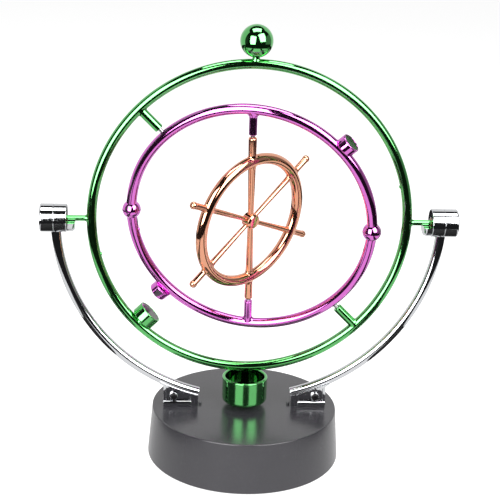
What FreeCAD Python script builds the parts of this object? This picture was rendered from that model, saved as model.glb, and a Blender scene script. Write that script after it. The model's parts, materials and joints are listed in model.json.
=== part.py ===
import FreeCAD, Part
import math
import os

V = FreeCAD.Vector

# ---------------------------------------------------------------------------
# Magnetic desk sculpture. Millimetres, +Z up. The origin is the centre of the
# base's resting plane, +X runs along the outer ring's pivot axis.
# ---------------------------------------------------------------------------

# Base
BASE_H = 27.0
BASE_BOTTOM_R = 50.4
BASE_TOP_R = 48.3
BASE_WALL = 2.2
BASE_TOP_T = 2.4
COVER_LIFT = 0.8
RIM_ROUND = 0.5
PLATE_T = 2.0
PLATE_GAP = 0.25

# Battery box: four AA cells side by side along Y
CELL_R = 7.2
CELL_L = 49.4
CELL_PITCH = 14.6
CELL_NUB_R = 2.7
CELL_NUB_L = 1.1
BOX_W = 59.2
BOX_D = 56.4
BOX_WALL = 1.4
BOX_H = 16.0
DOOR_GAP = 0.25

# Drive coil
COIL_R = 15.0
COIL_BORE_R = 4.0
COIL_H = 4.6
FLANGE_T = 0.8

COIL_TOP = BASE_H - BASE_TOP_T
COIL_LOW = COIL_TOP - COIL_H
LOCATOR_GAP = 1.0
LOCATOR_T = 1.2

# Cover and plate fixings
SCREW_AT = 43.4
SCREW_DEGS = (25.0, 155.0, 205.0, 335.0)
BOSS_R = 3.0
PILOT_R = 1.0
PLATE_HOLE_R = 1.35
HEAD_SUNK = 0.9
FOOT_AT = 40.0
FOOT_DEGS = (0.0, 90.0, 180.0, 270.0)
FOOT_R = 4.5
FOOT_SUNK = 0.8
NIB_AT = 23.3
NIB_R = 0.8
NIB_H = 1.4

# Battery door
TAB_XS = (-16.0, 16.0)
TAB_W = 8.0
TAB_L = 1.9
TAB_REACH = 2.6
LATCH_W = 12.0
DOOR_EDGE = BOX_D / 2

# Cells, contacts, board and leads
CELL_Z = COVER_LIFT + PLATE_T + CELL_R + 0.1
CELL_SPRING_END = -24.0
BOARD_X = (31.8, 44.0)
BOARD_Y = 13.0
BOARD_Z = 8.0
BOARD_T = 1.2
LEAD_R = 0.5
LEAD_BEND = 2.0
LEAD_CORNER = 0.9
LEAD_DROP_X = 32.9
BATTERY_LEAD_X = 13.0
BATTERY_LEAD_ZS = (15.4, 13.4)

# Rings, all measured on the tube's centre line
AXIS_Z = BASE_H + 102.0
OUTER_R = 80.0
OUTER_TUBE_R = 2.5
MIDDLE_R = 61.5
MIDDLE_TUBE_R = 2.65
WHEEL_R = 33.3
WHEEL_TUBE_R = 2.85
MIDDLE_PIVOT_DEG = 135.0
MIDDLE_TURN_DEG = -16.6
WHEEL_PIVOT_DEG = 90.0
WHEEL_TURN_DEG = 52.0

# Pins and the holes they run or sit in
SIDE_PIN_R = 1.45
SIDE_PIN_END = 95.4
MIDDLE_PIN_R = 1.0
MIDDLE_PIN_OUT = 69.0
MIDDLE_PIN_IN = 60.2
WHEEL_PIN_R = 1.0
WHEEL_PIN_OUT = 52.0
WHEEL_PIN_IN = 43.0
RUN_GAP = 0.06

# Outer ring fittings
STUB_R = 2.35
OUTER_STUB_IN = 66.0
TOP_BALL_R = 8.15
TOP_BALL_AT = 91.3
TOP_NECK_R = 1.85
CUP_R = 11.8
CUP_RIM_AT = 85.5
CUP_BOTTOM_AT = 99.5
CUP_WALL = 1.5
CUP_FLOOR = 1.6
CUP_STEM_R = 2.2
CUP_MAGNET_R = 7.5
CUP_MAGNET_T = 3.0
OUTER_MAGNET_DEG = 225.0
OUTER_DRUM_R = 6.5
OUTER_DRUM_FACE = 70.5
OUTER_DRUM_BACK = 76.7
OUTER_MAGNET_R = 5.6
OUTER_MAGNET_T = 3.0
PEG_FIT_R = 1.2
NUB_STANDS = 0.5
OUTER_NUBS = (14.0, 194.0)

# Middle ring fittings
BEAD_R = 4.75
MIDDLE_DRUM_R = 5.15
MIDDLE_DRUM_FACE = 68.5
MIDDLE_DRUM_BACK = 63.4
MIDDLE_MAGNET_R = 4.35
MIDDLE_MAGNET_T = 2.5
MIDDLE_MAGNETS = (("upper", 45.0), ("lower", 225.0))
MIDDLE_PINS = (("upper", MIDDLE_PIVOT_DEG), ("lower", MIDDLE_PIVOT_DEG + 180))
MIDDLE_NUB_DEG = 191.0
MIDDLE_STUB_R = 2.05
MIDDLE_STUB_IN = 48.0
MIDDLE_ROOT_R = 3.2
MIDDLE_ROOT_L = 5.2
WHEEL_STUBS = (WHEEL_PIVOT_DEG, WHEEL_PIVOT_DEG + 180)

# Wheel fittings
SPOKE_DEGS = (30.0, 150.0, 210.0, 330.0)
WHEEL_NUB_DEG = -55.0
HUB_R = 4.0
HUB_HALF_L = 3.1
SPOKE_TIP_AT = 44.4
SPOKE_BALL_R = 1.95
SPOKE_HUB_R = 1.15
SPOKE_RIM_R = 1.75
AXLE_END = 46.6
AXLE_HUB_R = 1.5
AXLE_END_R = 2.15
AXLE_END_ROUND = 1.0

# Bearing drums at the arm tops
DRUM_R = 7.15
DRUM_IN = 92.3
DRUM_SEAM = 98.7
DRUM_OUT = 105.8
LIP_IN = 88.2
LIP_R = 6.7
BUSH_R = 2.6
BUSH_LEN = 3.6
PEG_R = 2.2

# Arms and the shoes under them
ARM_ARC_R = 98.0
ARM_ROD_R = 2.5
ARM_START_DEG = 14.3
ARM_TOP_DROP = 3.0
ARM_END_DEG = 90.0 - math.degrees(math.asin(ARM_TOP_DROP / ARM_ARC_R))
SHOE_IN = 24.4
SHOE_OUT = 42.65
SHOE_LIP_OUT = 44.6
SHOE_LIP_T = 1.0
SHOE_SINK = 1.0
SHOE_FOOT_W = 7.4
SHOE_FOOT_T = 3.2
SHOE_FOOT_ROUND = 1.4
SHOE_FOOT_IN = 28.1
SHOE_W = 5.8
SHOE_WEB_T = 3.4
SHOE_POST_T = 1.3
SHOE_TOE_L = 4.2
SHOE_SCREW_XS = (26.6, 33.0)
CLAMP_X = 37.3
CLAMP_UP = 5.6
CLAMP_R = 0.9
CLAMP_HEAD_R = 2.0
CLAMP_HEAD_H = 0.9
CLAMP_BOSS_R = 2.2

X, Y, Z = V(1, 0, 0), V(0, 1, 0), V(0, 0, 1)
CENTRE = V(0, 0, AXIS_Z)
SIDES = (("left", -1), ("right", 1))


# ---------------------------------------------------------------------------
# Small helpers
# ---------------------------------------------------------------------------
def save(name, shape):
    shape.exportStep("parts/%s.step" % name)


def cyl(radius, start, end):
    """Round bar from one point to another."""
    along = end - start
    return Part.makeCylinder(radius, along.Length, start, along)


def taper(r_start, r_end, start, end):
    """Round bar whose radius changes from one end to the other."""
    along = end - start
    return Part.makeCone(r_start, r_end, along.Length, start, along)


def box(x0, x1, y0, y1, z0, z1):
    return Part.makeBox(x1 - x0, y1 - y0, z1 - z0, V(x0, y0, z0))


def radial(degrees, distance):
    """Point in the rings' own plane, the angle counted from +X towards +Z."""
    a = math.radians(degrees)
    return V(distance * math.cos(a), 0, distance * math.sin(a))


def fuse(first, *others):
    return first.fuse(list(others)).removeSplitter()


def turned(profile, axis_start, axis_dir):
    """Full turn of a closed outline of points about an axis."""
    wire = Part.makePolygon(profile + [profile[0]])
    return Part.Face(wire).revolve(axis_start, axis_dir, 360)


def ring_tube(radius, tube_r):
    return Part.makeTorus(radius, tube_r, V(0, 0, 0), Y)


def edges_at_z(shape, z):
    return [e for e in shape.Edges if abs(e.BoundBox.ZMin - z) < 1e-4 and abs(e.BoundBox.ZMax - z) < 1e-4]


def place_outer(shape):
    shape.translate(CENTRE)
    return shape


def place_middle(shape):
    shape.rotate(V(0, 0, 0), radial(MIDDLE_PIVOT_DEG, 1), MIDDLE_TURN_DEG)
    return place_outer(shape)


def place_wheel(shape):
    shape.rotate(V(0, 0, 0), radial(WHEEL_PIVOT_DEG, 1), WHEEL_TURN_DEG)
    return place_middle(shape)


def wire_tube(points, radius, bend):
    """Hook-up wire: straight runs joined by tangent arcs."""
    edges = []
    last = points[0]
    for before, corner, after in zip(points, points[1:], points[2:]):
        u = (before - corner).normalize()
        w = (after - corner).normalize()
        half = u.getAngle(w) / 2
        reach = bend / math.tan(half)
        middle = corner + (u + w).normalize() * (bend / math.sin(half) - bend)
        start, end = corner + u * reach, corner + w * reach
        edges.append(Part.LineSegment(last, start).toShape())
        edges.append(Part.Arc(start, middle, end).toShape())
        last = end
    edges.append(Part.LineSegment(last, points[-1]).toShape())
    path = Part.Wire(edges)
    section = Part.Wire(Part.makeCircle(radius, points[0], points[1] - points[0]))
    return path.makePipeShell([section], True, False)


# ---------------------------------------------------------------------------
# Base
# ---------------------------------------------------------------------------
def around(radius, degrees):
    """Points on a circle round the base's centre."""
    return [V(radius * math.cos(math.radians(d)), radius * math.sin(math.radians(d)), 0) for d in degrees]


def wall_inner_r(z):
    """Inner radius of the cover's sloping wall at a height."""
    slope = (BASE_BOTTOM_R - BASE_TOP_R) / (BASE_H - COVER_LIFT)
    return BASE_BOTTOM_R - slope * (z - COVER_LIFT) - BASE_WALL


def base_cover():
    inner_top = BASE_H - BASE_TOP_T
    solid = Part.makeCone(BASE_BOTTOM_R, BASE_TOP_R, BASE_H - COVER_LIFT, V(0, 0, COVER_LIFT))
    solid = solid.makeFillet(RIM_ROUND, edges_at_z(solid, BASE_H))
    hollow = Part.makeCone(wall_inner_r(COVER_LIFT), wall_inner_r(inner_top), inner_top - COVER_LIFT,
                           V(0, 0, COVER_LIFT))
    solid = solid.cut(hollow)
    plate_top = COVER_LIFT + PLATE_T
    bosses = []
    holes = []
    for p in around(SCREW_AT, SCREW_DEGS):
        bosses.append(cyl(BOSS_R, p + Z * plate_top, p + Z * (inner_top + 0.5)))
        holes.append(cyl(PILOT_R, p + Z * (plate_top - 0.1), p + Z * (plate_top + 9)))
    locator_r = COIL_R + LOCATOR_GAP
    locator = cyl(locator_r + LOCATOR_T, Z * (inner_top - 1.5), Z * (inner_top + 0.5))
    locator = locator.cut(cyl(locator_r, Z * (inner_top - 2), Z * (inner_top + 1)))
    nibs = [cyl(NIB_R, V(x, 0, inner_top + 1), V(x, 0, BASE_H + NIB_H)) for x in (-NIB_AT, NIB_AT)]
    solid = fuse(solid, locator, *bosses, *nibs)
    for side in (-1, 1):
        for x in SHOE_SCREW_XS:
            at = V(side * x, 0, 0)
            holes.append(cyl(PLATE_HOLE_R, at + Z * (inner_top - 1), at + Z * (BASE_H + 1)))
    return solid.cut(holes)


def plate_outline():
    """Underside plate without its openings."""
    top = COVER_LIFT + PLATE_T
    return Part.makeCone(wall_inner_r(COVER_LIFT) - PLATE_GAP, wall_inner_r(top) - PLATE_GAP, PLATE_T,
                         V(0, 0, COVER_LIFT))


def bottom_plate():
    z0, z1 = COVER_LIFT, COVER_LIFT + PLATE_T
    half_w, half_d = BOX_W / 2, BOX_D / 2
    wall_w, wall_d = half_w + BOX_WALL, half_d + BOX_WALL
    solid = fuse(plate_outline(), box(-wall_w, wall_w, -wall_d, wall_d, z1 - 0.5, z1 + BOX_H))
    solid = solid.cut(box(-half_w, half_w, -half_d, half_d, z0 - 1, z1 + BOX_H - BOX_WALL))
    cuts = []
    slot_w, latch_w = TAB_W / 2 + 0.4, LATCH_W / 2 + 0.4
    for x in TAB_XS:
        cuts.append(box(x - slot_w, x + slot_w, -DOOR_EDGE - TAB_REACH, -DOOR_EDGE + 1, z0 + 0.95, z0 + 3.6))
    cuts.append(box(-latch_w, latch_w, DOOR_EDGE - 1, DOOR_EDGE + TAB_REACH, z0 - 1, z0 + 3.4))
    for p in around(SCREW_AT, SCREW_DEGS):
        cuts.append(cyl(PLATE_HOLE_R, p, p + Z * (z1 + 1)))
        cuts.append(cyl(2.75, p, p + Z * (z0 + HEAD_SUNK)))
    for p in around(FOOT_AT, FOOT_DEGS):
        cuts.append(cyl(FOOT_R, p, p + Z * (z0 + FOOT_SUNK)))
    for x, z in zip((BATTERY_LEAD_X, -BATTERY_LEAD_X), BATTERY_LEAD_ZS):
        cuts.append(cyl(LEAD_R + 0.3, V(x, half_d - 1, z), V(x, half_d + 3, z)))
    return solid.cut(cuts)


def battery_door():
    """Lid with two tabs on one edge and a thumb latch on the other."""
    z0, z1 = COVER_LIFT, COVER_LIFT + PLATE_T
    half_w = BOX_W / 2 - DOOR_GAP
    y0, y1 = -DOOR_EDGE + DOOR_GAP, DOOR_EDGE - DOOR_GAP
    solid = box(-half_w, half_w, y0, y1, z0, z1 - 0.2)
    extra = [box(x - TAB_W / 2, x + TAB_W / 2, y0 - TAB_L, y0 + 0.5, z0 + 1.05, z1 - 0.2) for x in TAB_XS]
    extra.append(box(-LATCH_W / 2, LATCH_W / 2, y1 - 0.5, y1 + 2.2, z0, z0 + 1.2))
    solid = fuse(solid, *extra)
    grips = [box(-9, 9, y1 - 4.0 - 2.0 * i, y1 - 3.0 - 2.0 * i, z0 - 1, z0 + 0.5) for i in range(3)]
    return solid.cut(grips)


def rubber_feet():
    return Part.makeCompound([cyl(FOOT_R - 0.05, p, p + Z * (COVER_LIFT + FOOT_SUNK - 0.02))
                              for p in around(FOOT_AT, FOOT_DEGS)])


def screw(seat, direction, head_r, head_h, shank_r, length):
    """Screw with its head's underside at seat and its shank along direction."""
    head = cyl(head_r, seat - direction * head_h, seat)
    head = head.cut(cyl(head_r * 0.35, seat - direction * (head_h + 1), seat - direction * head_h * 0.45))
    return fuse(head, cyl(shank_r, seat - direction * 0.2, seat + direction * length))


def plate_screws():
    seats = [p + Z * (COVER_LIFT + HEAD_SUNK) for p in around(SCREW_AT, SCREW_DEGS)]
    return Part.makeCompound([screw(seat, Z, 2.5, 0.8, PILOT_R - 0.02, 8.0) for seat in seats])


# ---------------------------------------------------------------------------
# Batteries, contacts, coil and driver
# ---------------------------------------------------------------------------
def battery_cell(index):
    """One AA cell; neighbours point opposite ways."""
    x = (index - 1.5) * CELL_PITCH
    way = 1 if index % 2 == 0 else -1
    start = V(x, way * CELL_SPRING_END, CELL_Z)
    end = start + Y * (way * CELL_L)
    body = cyl(CELL_R, start, end)
    return fuse(body, cyl(CELL_NUB_R, end - Y * way * 0.5, end + Y * way * CELL_NUB_L))


def contact_springs():
    """Conical contact coils, each drawn as a stack of shrinking wire rings joined by a strip."""
    springs = []
    for i in range(4):
        x = (i - 1.5) * CELL_PITCH
        way = 1 if i % 2 == 0 else -1
        wall = -way * (BOX_D / 2 - 0.8)
        tip = way * CELL_SPRING_END
        turns = [Part.makeTorus(4.2 - 0.7 * n, 0.35, V(x, wall + (tip - wall) * (n + 0.6) / 4.3, CELL_Z), Y)
                 for n in range(4)]
        spine = cyl(0.35, V(x, wall, CELL_Z + 4.2), V(x, tip - way * 0.6, CELL_Z + 2.1))
        springs.append(fuse(turns[0], spine, *turns[1:]))
    return Part.makeCompound(springs)


def contact_plates():
    """Nickelled strips on both end walls of the battery box."""
    plates = []
    top, low = CELL_Z + 5.0, CELL_Z - 5.0
    wall = BOX_D / 2
    for x0, x1 in ((-27.0, -17.0), (-12.4, 12.4), (17.0, 27.0)):
        plates.append(box(x0, x1, wall - 0.4, wall, low, top))
    for x0, x1 in ((-27.0, -2.2), (2.2, 27.0)):
        plates.append(box(x0, x1, -wall, -wall + 0.4, low, top))
    return Part.makeCompound(plates)


def coil_bobbin():
    solid = cyl(COIL_R, Z * COIL_LOW, Z * COIL_TOP)
    groove = cyl(COIL_R + 1, Z * (COIL_LOW + FLANGE_T), Z * (COIL_TOP - FLANGE_T))
    groove = groove.cut(cyl(COIL_BORE_R + 0.8, Z * COIL_LOW, Z * COIL_TOP))
    return solid.cut(groove).cut(cyl(COIL_BORE_R, Z * (COIL_LOW - 1), Z * (COIL_TOP + 1)))


def coil_winding():
    solid = cyl(COIL_R - 0.6, Z * (COIL_LOW + FLANGE_T), Z * (COIL_TOP - FLANGE_T))
    return solid.cut(cyl(COIL_BORE_R + 0.8, Z * COIL_LOW, Z * COIL_TOP))


def coil_core():
    return cyl(COIL_BORE_R, Z * COIL_LOW, Z * COIL_TOP)


def circuit_board():
    return box(BOARD_X[0], BOARD_X[1], -BOARD_Y, BOARD_Y, BOARD_Z, BOARD_Z + BOARD_T)


def transistor():
    top = BOARD_Z + BOARD_T
    body = cyl(2.3, V(38, -8, top + 2.5), V(38, -8, top + 7.0)).cut(box(34, 36.6, -12, -4, top, top + 9))
    legs = [box(37.75 + dx, 38.25 + dx, -8.2, -7.8, top, top + 2.7) for dx in (-1.0, 0.2, 1.3)]
    return fuse(body, *legs)


def capacitor():
    top = BOARD_Z + BOARD_T
    can = cyl(3.1, V(38, 8.2, top), V(38, 8.2, top + 9.0))
    return can.makeFillet(0.5, edges_at_z(can, top + 9.0))


def resistors():
    top = BOARD_Z + BOARD_T
    parts = []
    for x in (34.6, 37.8, 41.0):
        body = cyl(0.9, V(x, -3.0, top + 1.2), V(x, 3.0, top + 1.2))
        lead = cyl(0.3, V(x, -3.8, top + 1.2), V(x, 3.8, top + 1.2))
        posts = [cyl(0.3, V(x, y, top), V(x, y, top + 1.2)) for y in (-3.8, 3.8)]
        parts.append(fuse(body, lead, *posts))
    return Part.makeCompound(parts)


def coil_leads():
    """Two wires from the bobbin's edge out over the battery box and down to the board."""
    top = BOARD_Z + BOARD_T
    z = COIL_LOW + 1.6
    leads = []
    for y, x in ((-9.0, 33.6), (-11.5, 36.1)):
        start = V(math.sqrt(COIL_R ** 2 - y ** 2) + 0.1, y, z)
        leads.append(wire_tube([start, V(x, y, z), V(x, y, top)], LEAD_R, LEAD_BEND))
    return Part.makeCompound(leads)


def battery_leads():
    """Two wires from the end contacts, round the box's corner to the board."""
    top = BOARD_Z + BOARD_T
    wall = BOX_D / 2 + BOX_WALL + 1.0
    leads = []
    for x, z, stop in zip((BATTERY_LEAD_X, -BATTERY_LEAD_X), BATTERY_LEAD_ZS, (8.6, 11.4)):
        points = [V(x, BOX_D / 2, z), V(x, wall, z), V(LEAD_DROP_X, wall, z), V(LEAD_DROP_X, stop, z),
                  V(LEAD_DROP_X, stop, top)]
        leads.append(wire_tube(points, LEAD_R, LEAD_CORNER))
    return Part.makeCompound(leads)


# ---------------------------------------------------------------------------
# Arms, shoes and bearing drums
# ---------------------------------------------------------------------------
def arm_point(degrees, side):
    """Point on the rod's centre line, the angle counted from straight down."""
    a = math.radians(degrees)
    return CENTRE + V(side * ARM_ARC_R * math.sin(a), 0, -ARM_ARC_R * math.cos(a))


def arm_bar(side, radius, first_deg, last_deg):
    start, middle, end = (arm_point(d, side) for d in (first_deg, (first_deg + last_deg) / 2, last_deg))
    path = Part.Wire(Part.Arc(start, middle, end).toShape())
    a = math.radians(first_deg)
    section = Part.Wire(Part.makeCircle(radius, start, V(side * math.cos(a), 0, math.sin(a))))
    return path.makePipeShell([section], True, False)


def arm(side):
    return arm_bar(side, ARM_ROD_R, ARM_START_DEG, ARM_END_DEG)


def saddle_z(x, below=SHOE_SINK):
    """Height of an arc that runs under the rod's centre line, a little further out than it."""
    return AXIS_Z - math.sqrt((ARM_ARC_R + below) ** 2 - x ** 2)


def shoe_slab(side, outline, arc_from, arc_to, below, y0, y1):
    """Outline of (x, z) points closed by an arc under the rod, carried from y0 to y1."""
    mid = (arc_from + arc_to) / 2
    first, last = (V(side * x, y0, saddle_z(x, below)) for x in (arc_from, arc_to))
    arc = Part.Arc(first, V(side * mid, y0, saddle_z(mid, below)), last).toShape()
    corners = [last] + [V(side * x, y0, z) for x, z in outline] + [first]
    sides = [Part.LineSegment(a, b).toShape() for a, b in zip(corners, corners[1:])]
    return Part.Face(Part.Wire([arc] + sides)).extrude(Y * (y1 - y0))


def arm_shoe(side):
    """Plated bracket: a rounded foot, a web recessed on both faces, an end post and a saddle strip with a lip."""
    lip_z = (saddle_z(SHOE_OUT) - SHOE_LIP_T, saddle_z(SHOE_LIP_OUT) - SHOE_LIP_T)
    outline = [(SHOE_IN, BASE_H), (SHOE_OUT, BASE_H), (SHOE_OUT, lip_z[0]), (SHOE_LIP_OUT, lip_z[1])]
    solid = shoe_slab(side, outline, SHOE_LIP_OUT, SHOE_IN, SHOE_SINK, -SHOE_W / 2, SHOE_W / 2)
    pocket_in, pocket_out = SHOE_IN + SHOE_TOE_L, SHOE_OUT - SHOE_POST_T
    floor = BASE_H + SHOE_FOOT_T
    pocket = [(pocket_in, floor), (pocket_out, floor)]
    for y0, y1 in ((-SHOE_W, -SHOE_WEB_T / 2), (SHOE_WEB_T / 2, SHOE_W)):
        solid = solid.cut(shoe_slab(side, pocket, pocket_out, pocket_in, SHOE_SINK + 1.3, y0, y1))
    foot = box(SHOE_FOOT_IN, SHOE_OUT, -SHOE_FOOT_W / 2, SHOE_FOOT_W / 2, BASE_H, floor)
    long_edges = [e for e in edges_at_z(foot, floor) if e.BoundBox.XLength > 1]
    foot = foot.makeFillet(SHOE_FOOT_ROUND, long_edges)
    if side < 0:
        foot = foot.mirror(V(0, 0, 0), X)
    boss = cyl(CLAMP_BOSS_R, clamp_point(side, 0.5), clamp_point(side, SHOE_W / 2))
    solid = fuse(solid, foot, boss)
    solid = solid.cut(arm_bar(side, ARM_ROD_R, ARM_START_DEG - 2, ARM_START_DEG + 30))
    holes = [cyl(PILOT_R, V(side * x, 0, BASE_H - 1), V(side * x, 0, shoe_hole_top(x)))
             for x in SHOE_SCREW_XS]
    holes.append(cyl(CLAMP_R, clamp_point(side, -1.0), clamp_point(side, SHOE_W)))
    return solid.cut(holes)


def shoe_hole_top(x):
    """Screw holes stop short of the rod."""
    return saddle_z(x, ARM_ROD_R + 0.4)


def clamp_point(side, forward):
    """Point on the cross screw's axis, a distance in front of the web's middle."""
    return V(side * CLAMP_X, -forward, BASE_H + CLAMP_UP)


def clamp_screws():
    """Dome-headed cross screws in the bosses on the shoes' webs."""
    screws = []
    for side in (-1, 1):
        seat = SHOE_W / 2
        head = cyl(CLAMP_HEAD_R, clamp_point(side, seat), clamp_point(side, seat + CLAMP_HEAD_H))
        rim = [e for e in head.Edges if e.Closed and abs(e.BoundBox.YMax + seat + CLAMP_HEAD_H) < 1e-4]
        head = head.makeFillet(0.6, rim)
        screws.append(fuse(head, cyl(CLAMP_R, clamp_point(side, seat + 0.1), clamp_point(side, -0.9))))
    return Part.makeCompound(screws)


def shoe_screws():
    seat = BASE_H - BASE_TOP_T
    screws = []
    for side in (-1, 1):
        for x in SHOE_SCREW_XS:
            length = min(shoe_hole_top(x), seat + 6.0) - seat
            screws.append(screw(V(side * x, 0, seat), Z, 2.4, 1.4, PILOT_R - 0.02, length))
    return Part.makeCompound(screws)


def on_axis(side, distance):
    return CENTRE + X * (side * distance)


def bearing_housing(side):
    """Inner half of the drum: bush seat, rod socket and the half-round lip under the pin."""
    solid = cyl(DRUM_R, on_axis(side, DRUM_IN), on_axis(side, DRUM_SEAM))
    rims = [e for e in solid.Edges if e.Closed and abs(e.Curve.Center.x - side * DRUM_IN) < 1e-4]
    solid = solid.makeFillet(0.4, rims)
    lip = cyl(LIP_R, on_axis(side, LIP_IN), on_axis(side, DRUM_IN + 0.5))
    ends = [e for e in lip.Edges if e.Closed and abs(e.Curve.Center.x - side * LIP_IN) < 1e-4]
    lip = lip.makeFillet(1.6, ends)
    reach = LIP_R + 1
    lip = lip.cut(box(-DRUM_OUT, DRUM_OUT, -reach, reach, AXIS_Z - 1.1, AXIS_Z + reach))
    solid = fuse(solid, lip)
    cuts = [cyl(BUSH_R, on_axis(side, DRUM_IN), on_axis(side, DRUM_IN + BUSH_LEN)),
            cyl(SIDE_PIN_R + 0.35, on_axis(side, LIP_IN - 1), on_axis(side, DRUM_IN + 1)),
            cyl(PEG_R, on_axis(side, DRUM_IN + BUSH_LEN - 0.1), on_axis(side, DRUM_SEAM + 1)),
            arm_bar(side, ARM_ROD_R, ARM_END_DEG - 12, ARM_END_DEG)]
    return solid.cut(cuts)


def bearing_cap(side):
    """Outer half of the drum, pressed into the inner half with a peg."""
    solid = cyl(DRUM_R, on_axis(side, DRUM_SEAM), on_axis(side, DRUM_OUT))
    rims = [e for e in solid.Edges if e.Closed and abs(e.Curve.Center.x - side * DRUM_OUT) < 1e-4]
    solid = solid.makeFillet(0.9, rims)
    seam = [e for e in solid.Edges if e.Closed and abs(e.Curve.Center.x - side * DRUM_SEAM) < 1e-4]
    solid = solid.makeChamfer(0.2, seam)
    peg = cyl(PEG_R, on_axis(side, DRUM_IN + BUSH_LEN), on_axis(side, DRUM_SEAM + 0.5))
    solid = fuse(solid, peg)
    return solid.cut(arm_bar(side, ARM_ROD_R, ARM_END_DEG - 12, ARM_END_DEG))


def bearing_bush(side):
    solid = cyl(BUSH_R, on_axis(side, DRUM_IN), on_axis(side, DRUM_IN + BUSH_LEN))
    return solid.cut(cyl(SIDE_PIN_R + RUN_GAP, on_axis(side, DRUM_IN - 1), on_axis(side, SIDE_PIN_END + 0.1)))


# ---------------------------------------------------------------------------
# Outer ring
# ---------------------------------------------------------------------------
def outer_ring():
    solid = ring_tube(OUTER_R, OUTER_TUBE_R)
    stubs = [cyl(STUB_R, radial(a, OUTER_R), radial(a, OUTER_STUB_IN)) for _, a in MIDDLE_PINS]
    nub_in = OUTER_R - OUTER_TUBE_R - NUB_STANDS
    nubs = [cyl(0.8, radial(a, OUTER_R - 1), radial(a, nub_in)) for a in OUTER_NUBS]
    solid = fuse(solid, *stubs, *nubs)
    cuts = [cyl(MIDDLE_PIN_R + RUN_GAP, radial(a, OUTER_STUB_IN - 1), radial(a, MIDDLE_PIN_OUT + 0.3))
            for _, a in MIDDLE_PINS]
    past = OUTER_R + OUTER_TUBE_R + 1
    cuts += [cyl(SIDE_PIN_R, radial(a, OUTER_R - 1), radial(a, past)) for a in (0, 180)]
    cuts += [cyl(r, radial(a, OUTER_R), radial(a, past)) for a, r in ((90, TOP_NECK_R), (270, CUP_STEM_R))]
    face, back, middle = (radial(OUTER_MAGNET_DEG, r) for r in (OUTER_DRUM_FACE, OUTER_DRUM_BACK, OUTER_R))
    cuts += [cyl(OUTER_DRUM_R, face, back), cyl(PEG_FIT_R, face, middle)]
    return place_outer(solid.cut(cuts))


def side_pin(side):
    end = V(side * SIDE_PIN_END, 0, 0)
    solid = cyl(SIDE_PIN_R, V(side * (OUTER_R - 1.0), 0, 0), end)
    tip = [e for e in solid.Edges if e.Closed and abs(e.Curve.Center.x - end.x) < 1e-4]
    return place_outer(solid.makeFillet(0.6, tip))


def top_ball():
    ball = Part.makeSphere(TOP_BALL_R, radial(90, TOP_BALL_AT))
    return place_outer(fuse(ball, cyl(TOP_NECK_R, radial(90, OUTER_R), radial(90, TOP_BALL_AT))))


def bottom_cup():
    """Open cup with a round rim, hung from the ring by a stem down its middle."""
    rim, low = -CUP_RIM_AT, -CUP_BOTTOM_AT
    solid = cyl(CUP_R, V(0, 0, low), V(0, 0, rim))
    solid = solid.makeFillet(2.2, edges_at_z(solid, low))
    solid = solid.cut(cyl(CUP_R - CUP_WALL, V(0, 0, low + CUP_FLOOR), V(0, 0, rim + 1)))
    lips = [e for e in edges_at_z(solid, rim) if e.Closed]
    solid = solid.makeFillet(0.6, lips)
    stem = cyl(CUP_STEM_R, V(0, 0, low + CUP_FLOOR + CUP_MAGNET_T), V(0, 0, -OUTER_R))
    spigot = cyl(1.2, V(0, 0, low + CUP_FLOOR - 0.2), V(0, 0, low + CUP_FLOOR + CUP_MAGNET_T + 0.5))
    return place_outer(fuse(solid, stem, spigot))


def cup_magnet():
    low = -CUP_BOTTOM_AT + CUP_FLOOR
    solid = cyl(CUP_MAGNET_R, V(0, 0, low), V(0, 0, low + CUP_MAGNET_T))
    return place_outer(solid.cut(cyl(1.2, V(0, 0, low - 1), V(0, 0, low + CUP_MAGNET_T + 1))))


def magnet_drum(angle, radius, face, back, magnet_r, magnet_t, peg_to):
    """Plated pot with its mouth at face; returns the pot and the disc magnet in it."""
    step = 1 if back > face else -1
    pot = cyl(radius, radial(angle, face), radial(angle, back))
    rims = [e for e in pot.Edges if e.Closed]
    pot = pot.makeFillet(0.5, rims)
    pot = pot.cut(cyl(magnet_r, radial(angle, face - step), radial(angle, face + step * magnet_t)))
    pot = fuse(pot, cyl(PEG_FIT_R, radial(angle, back - step * 0.5), radial(angle, peg_to)))
    magnet = cyl(magnet_r, radial(angle, face + step * 0.1), radial(angle, face + step * magnet_t))
    return pot, magnet


def outer_magnet_parts():
    shapes = magnet_drum(OUTER_MAGNET_DEG, OUTER_DRUM_R, OUTER_DRUM_FACE, OUTER_DRUM_BACK, OUTER_MAGNET_R,
                         OUTER_MAGNET_T, OUTER_R)
    return [place_outer(shape) for shape in shapes]


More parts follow.
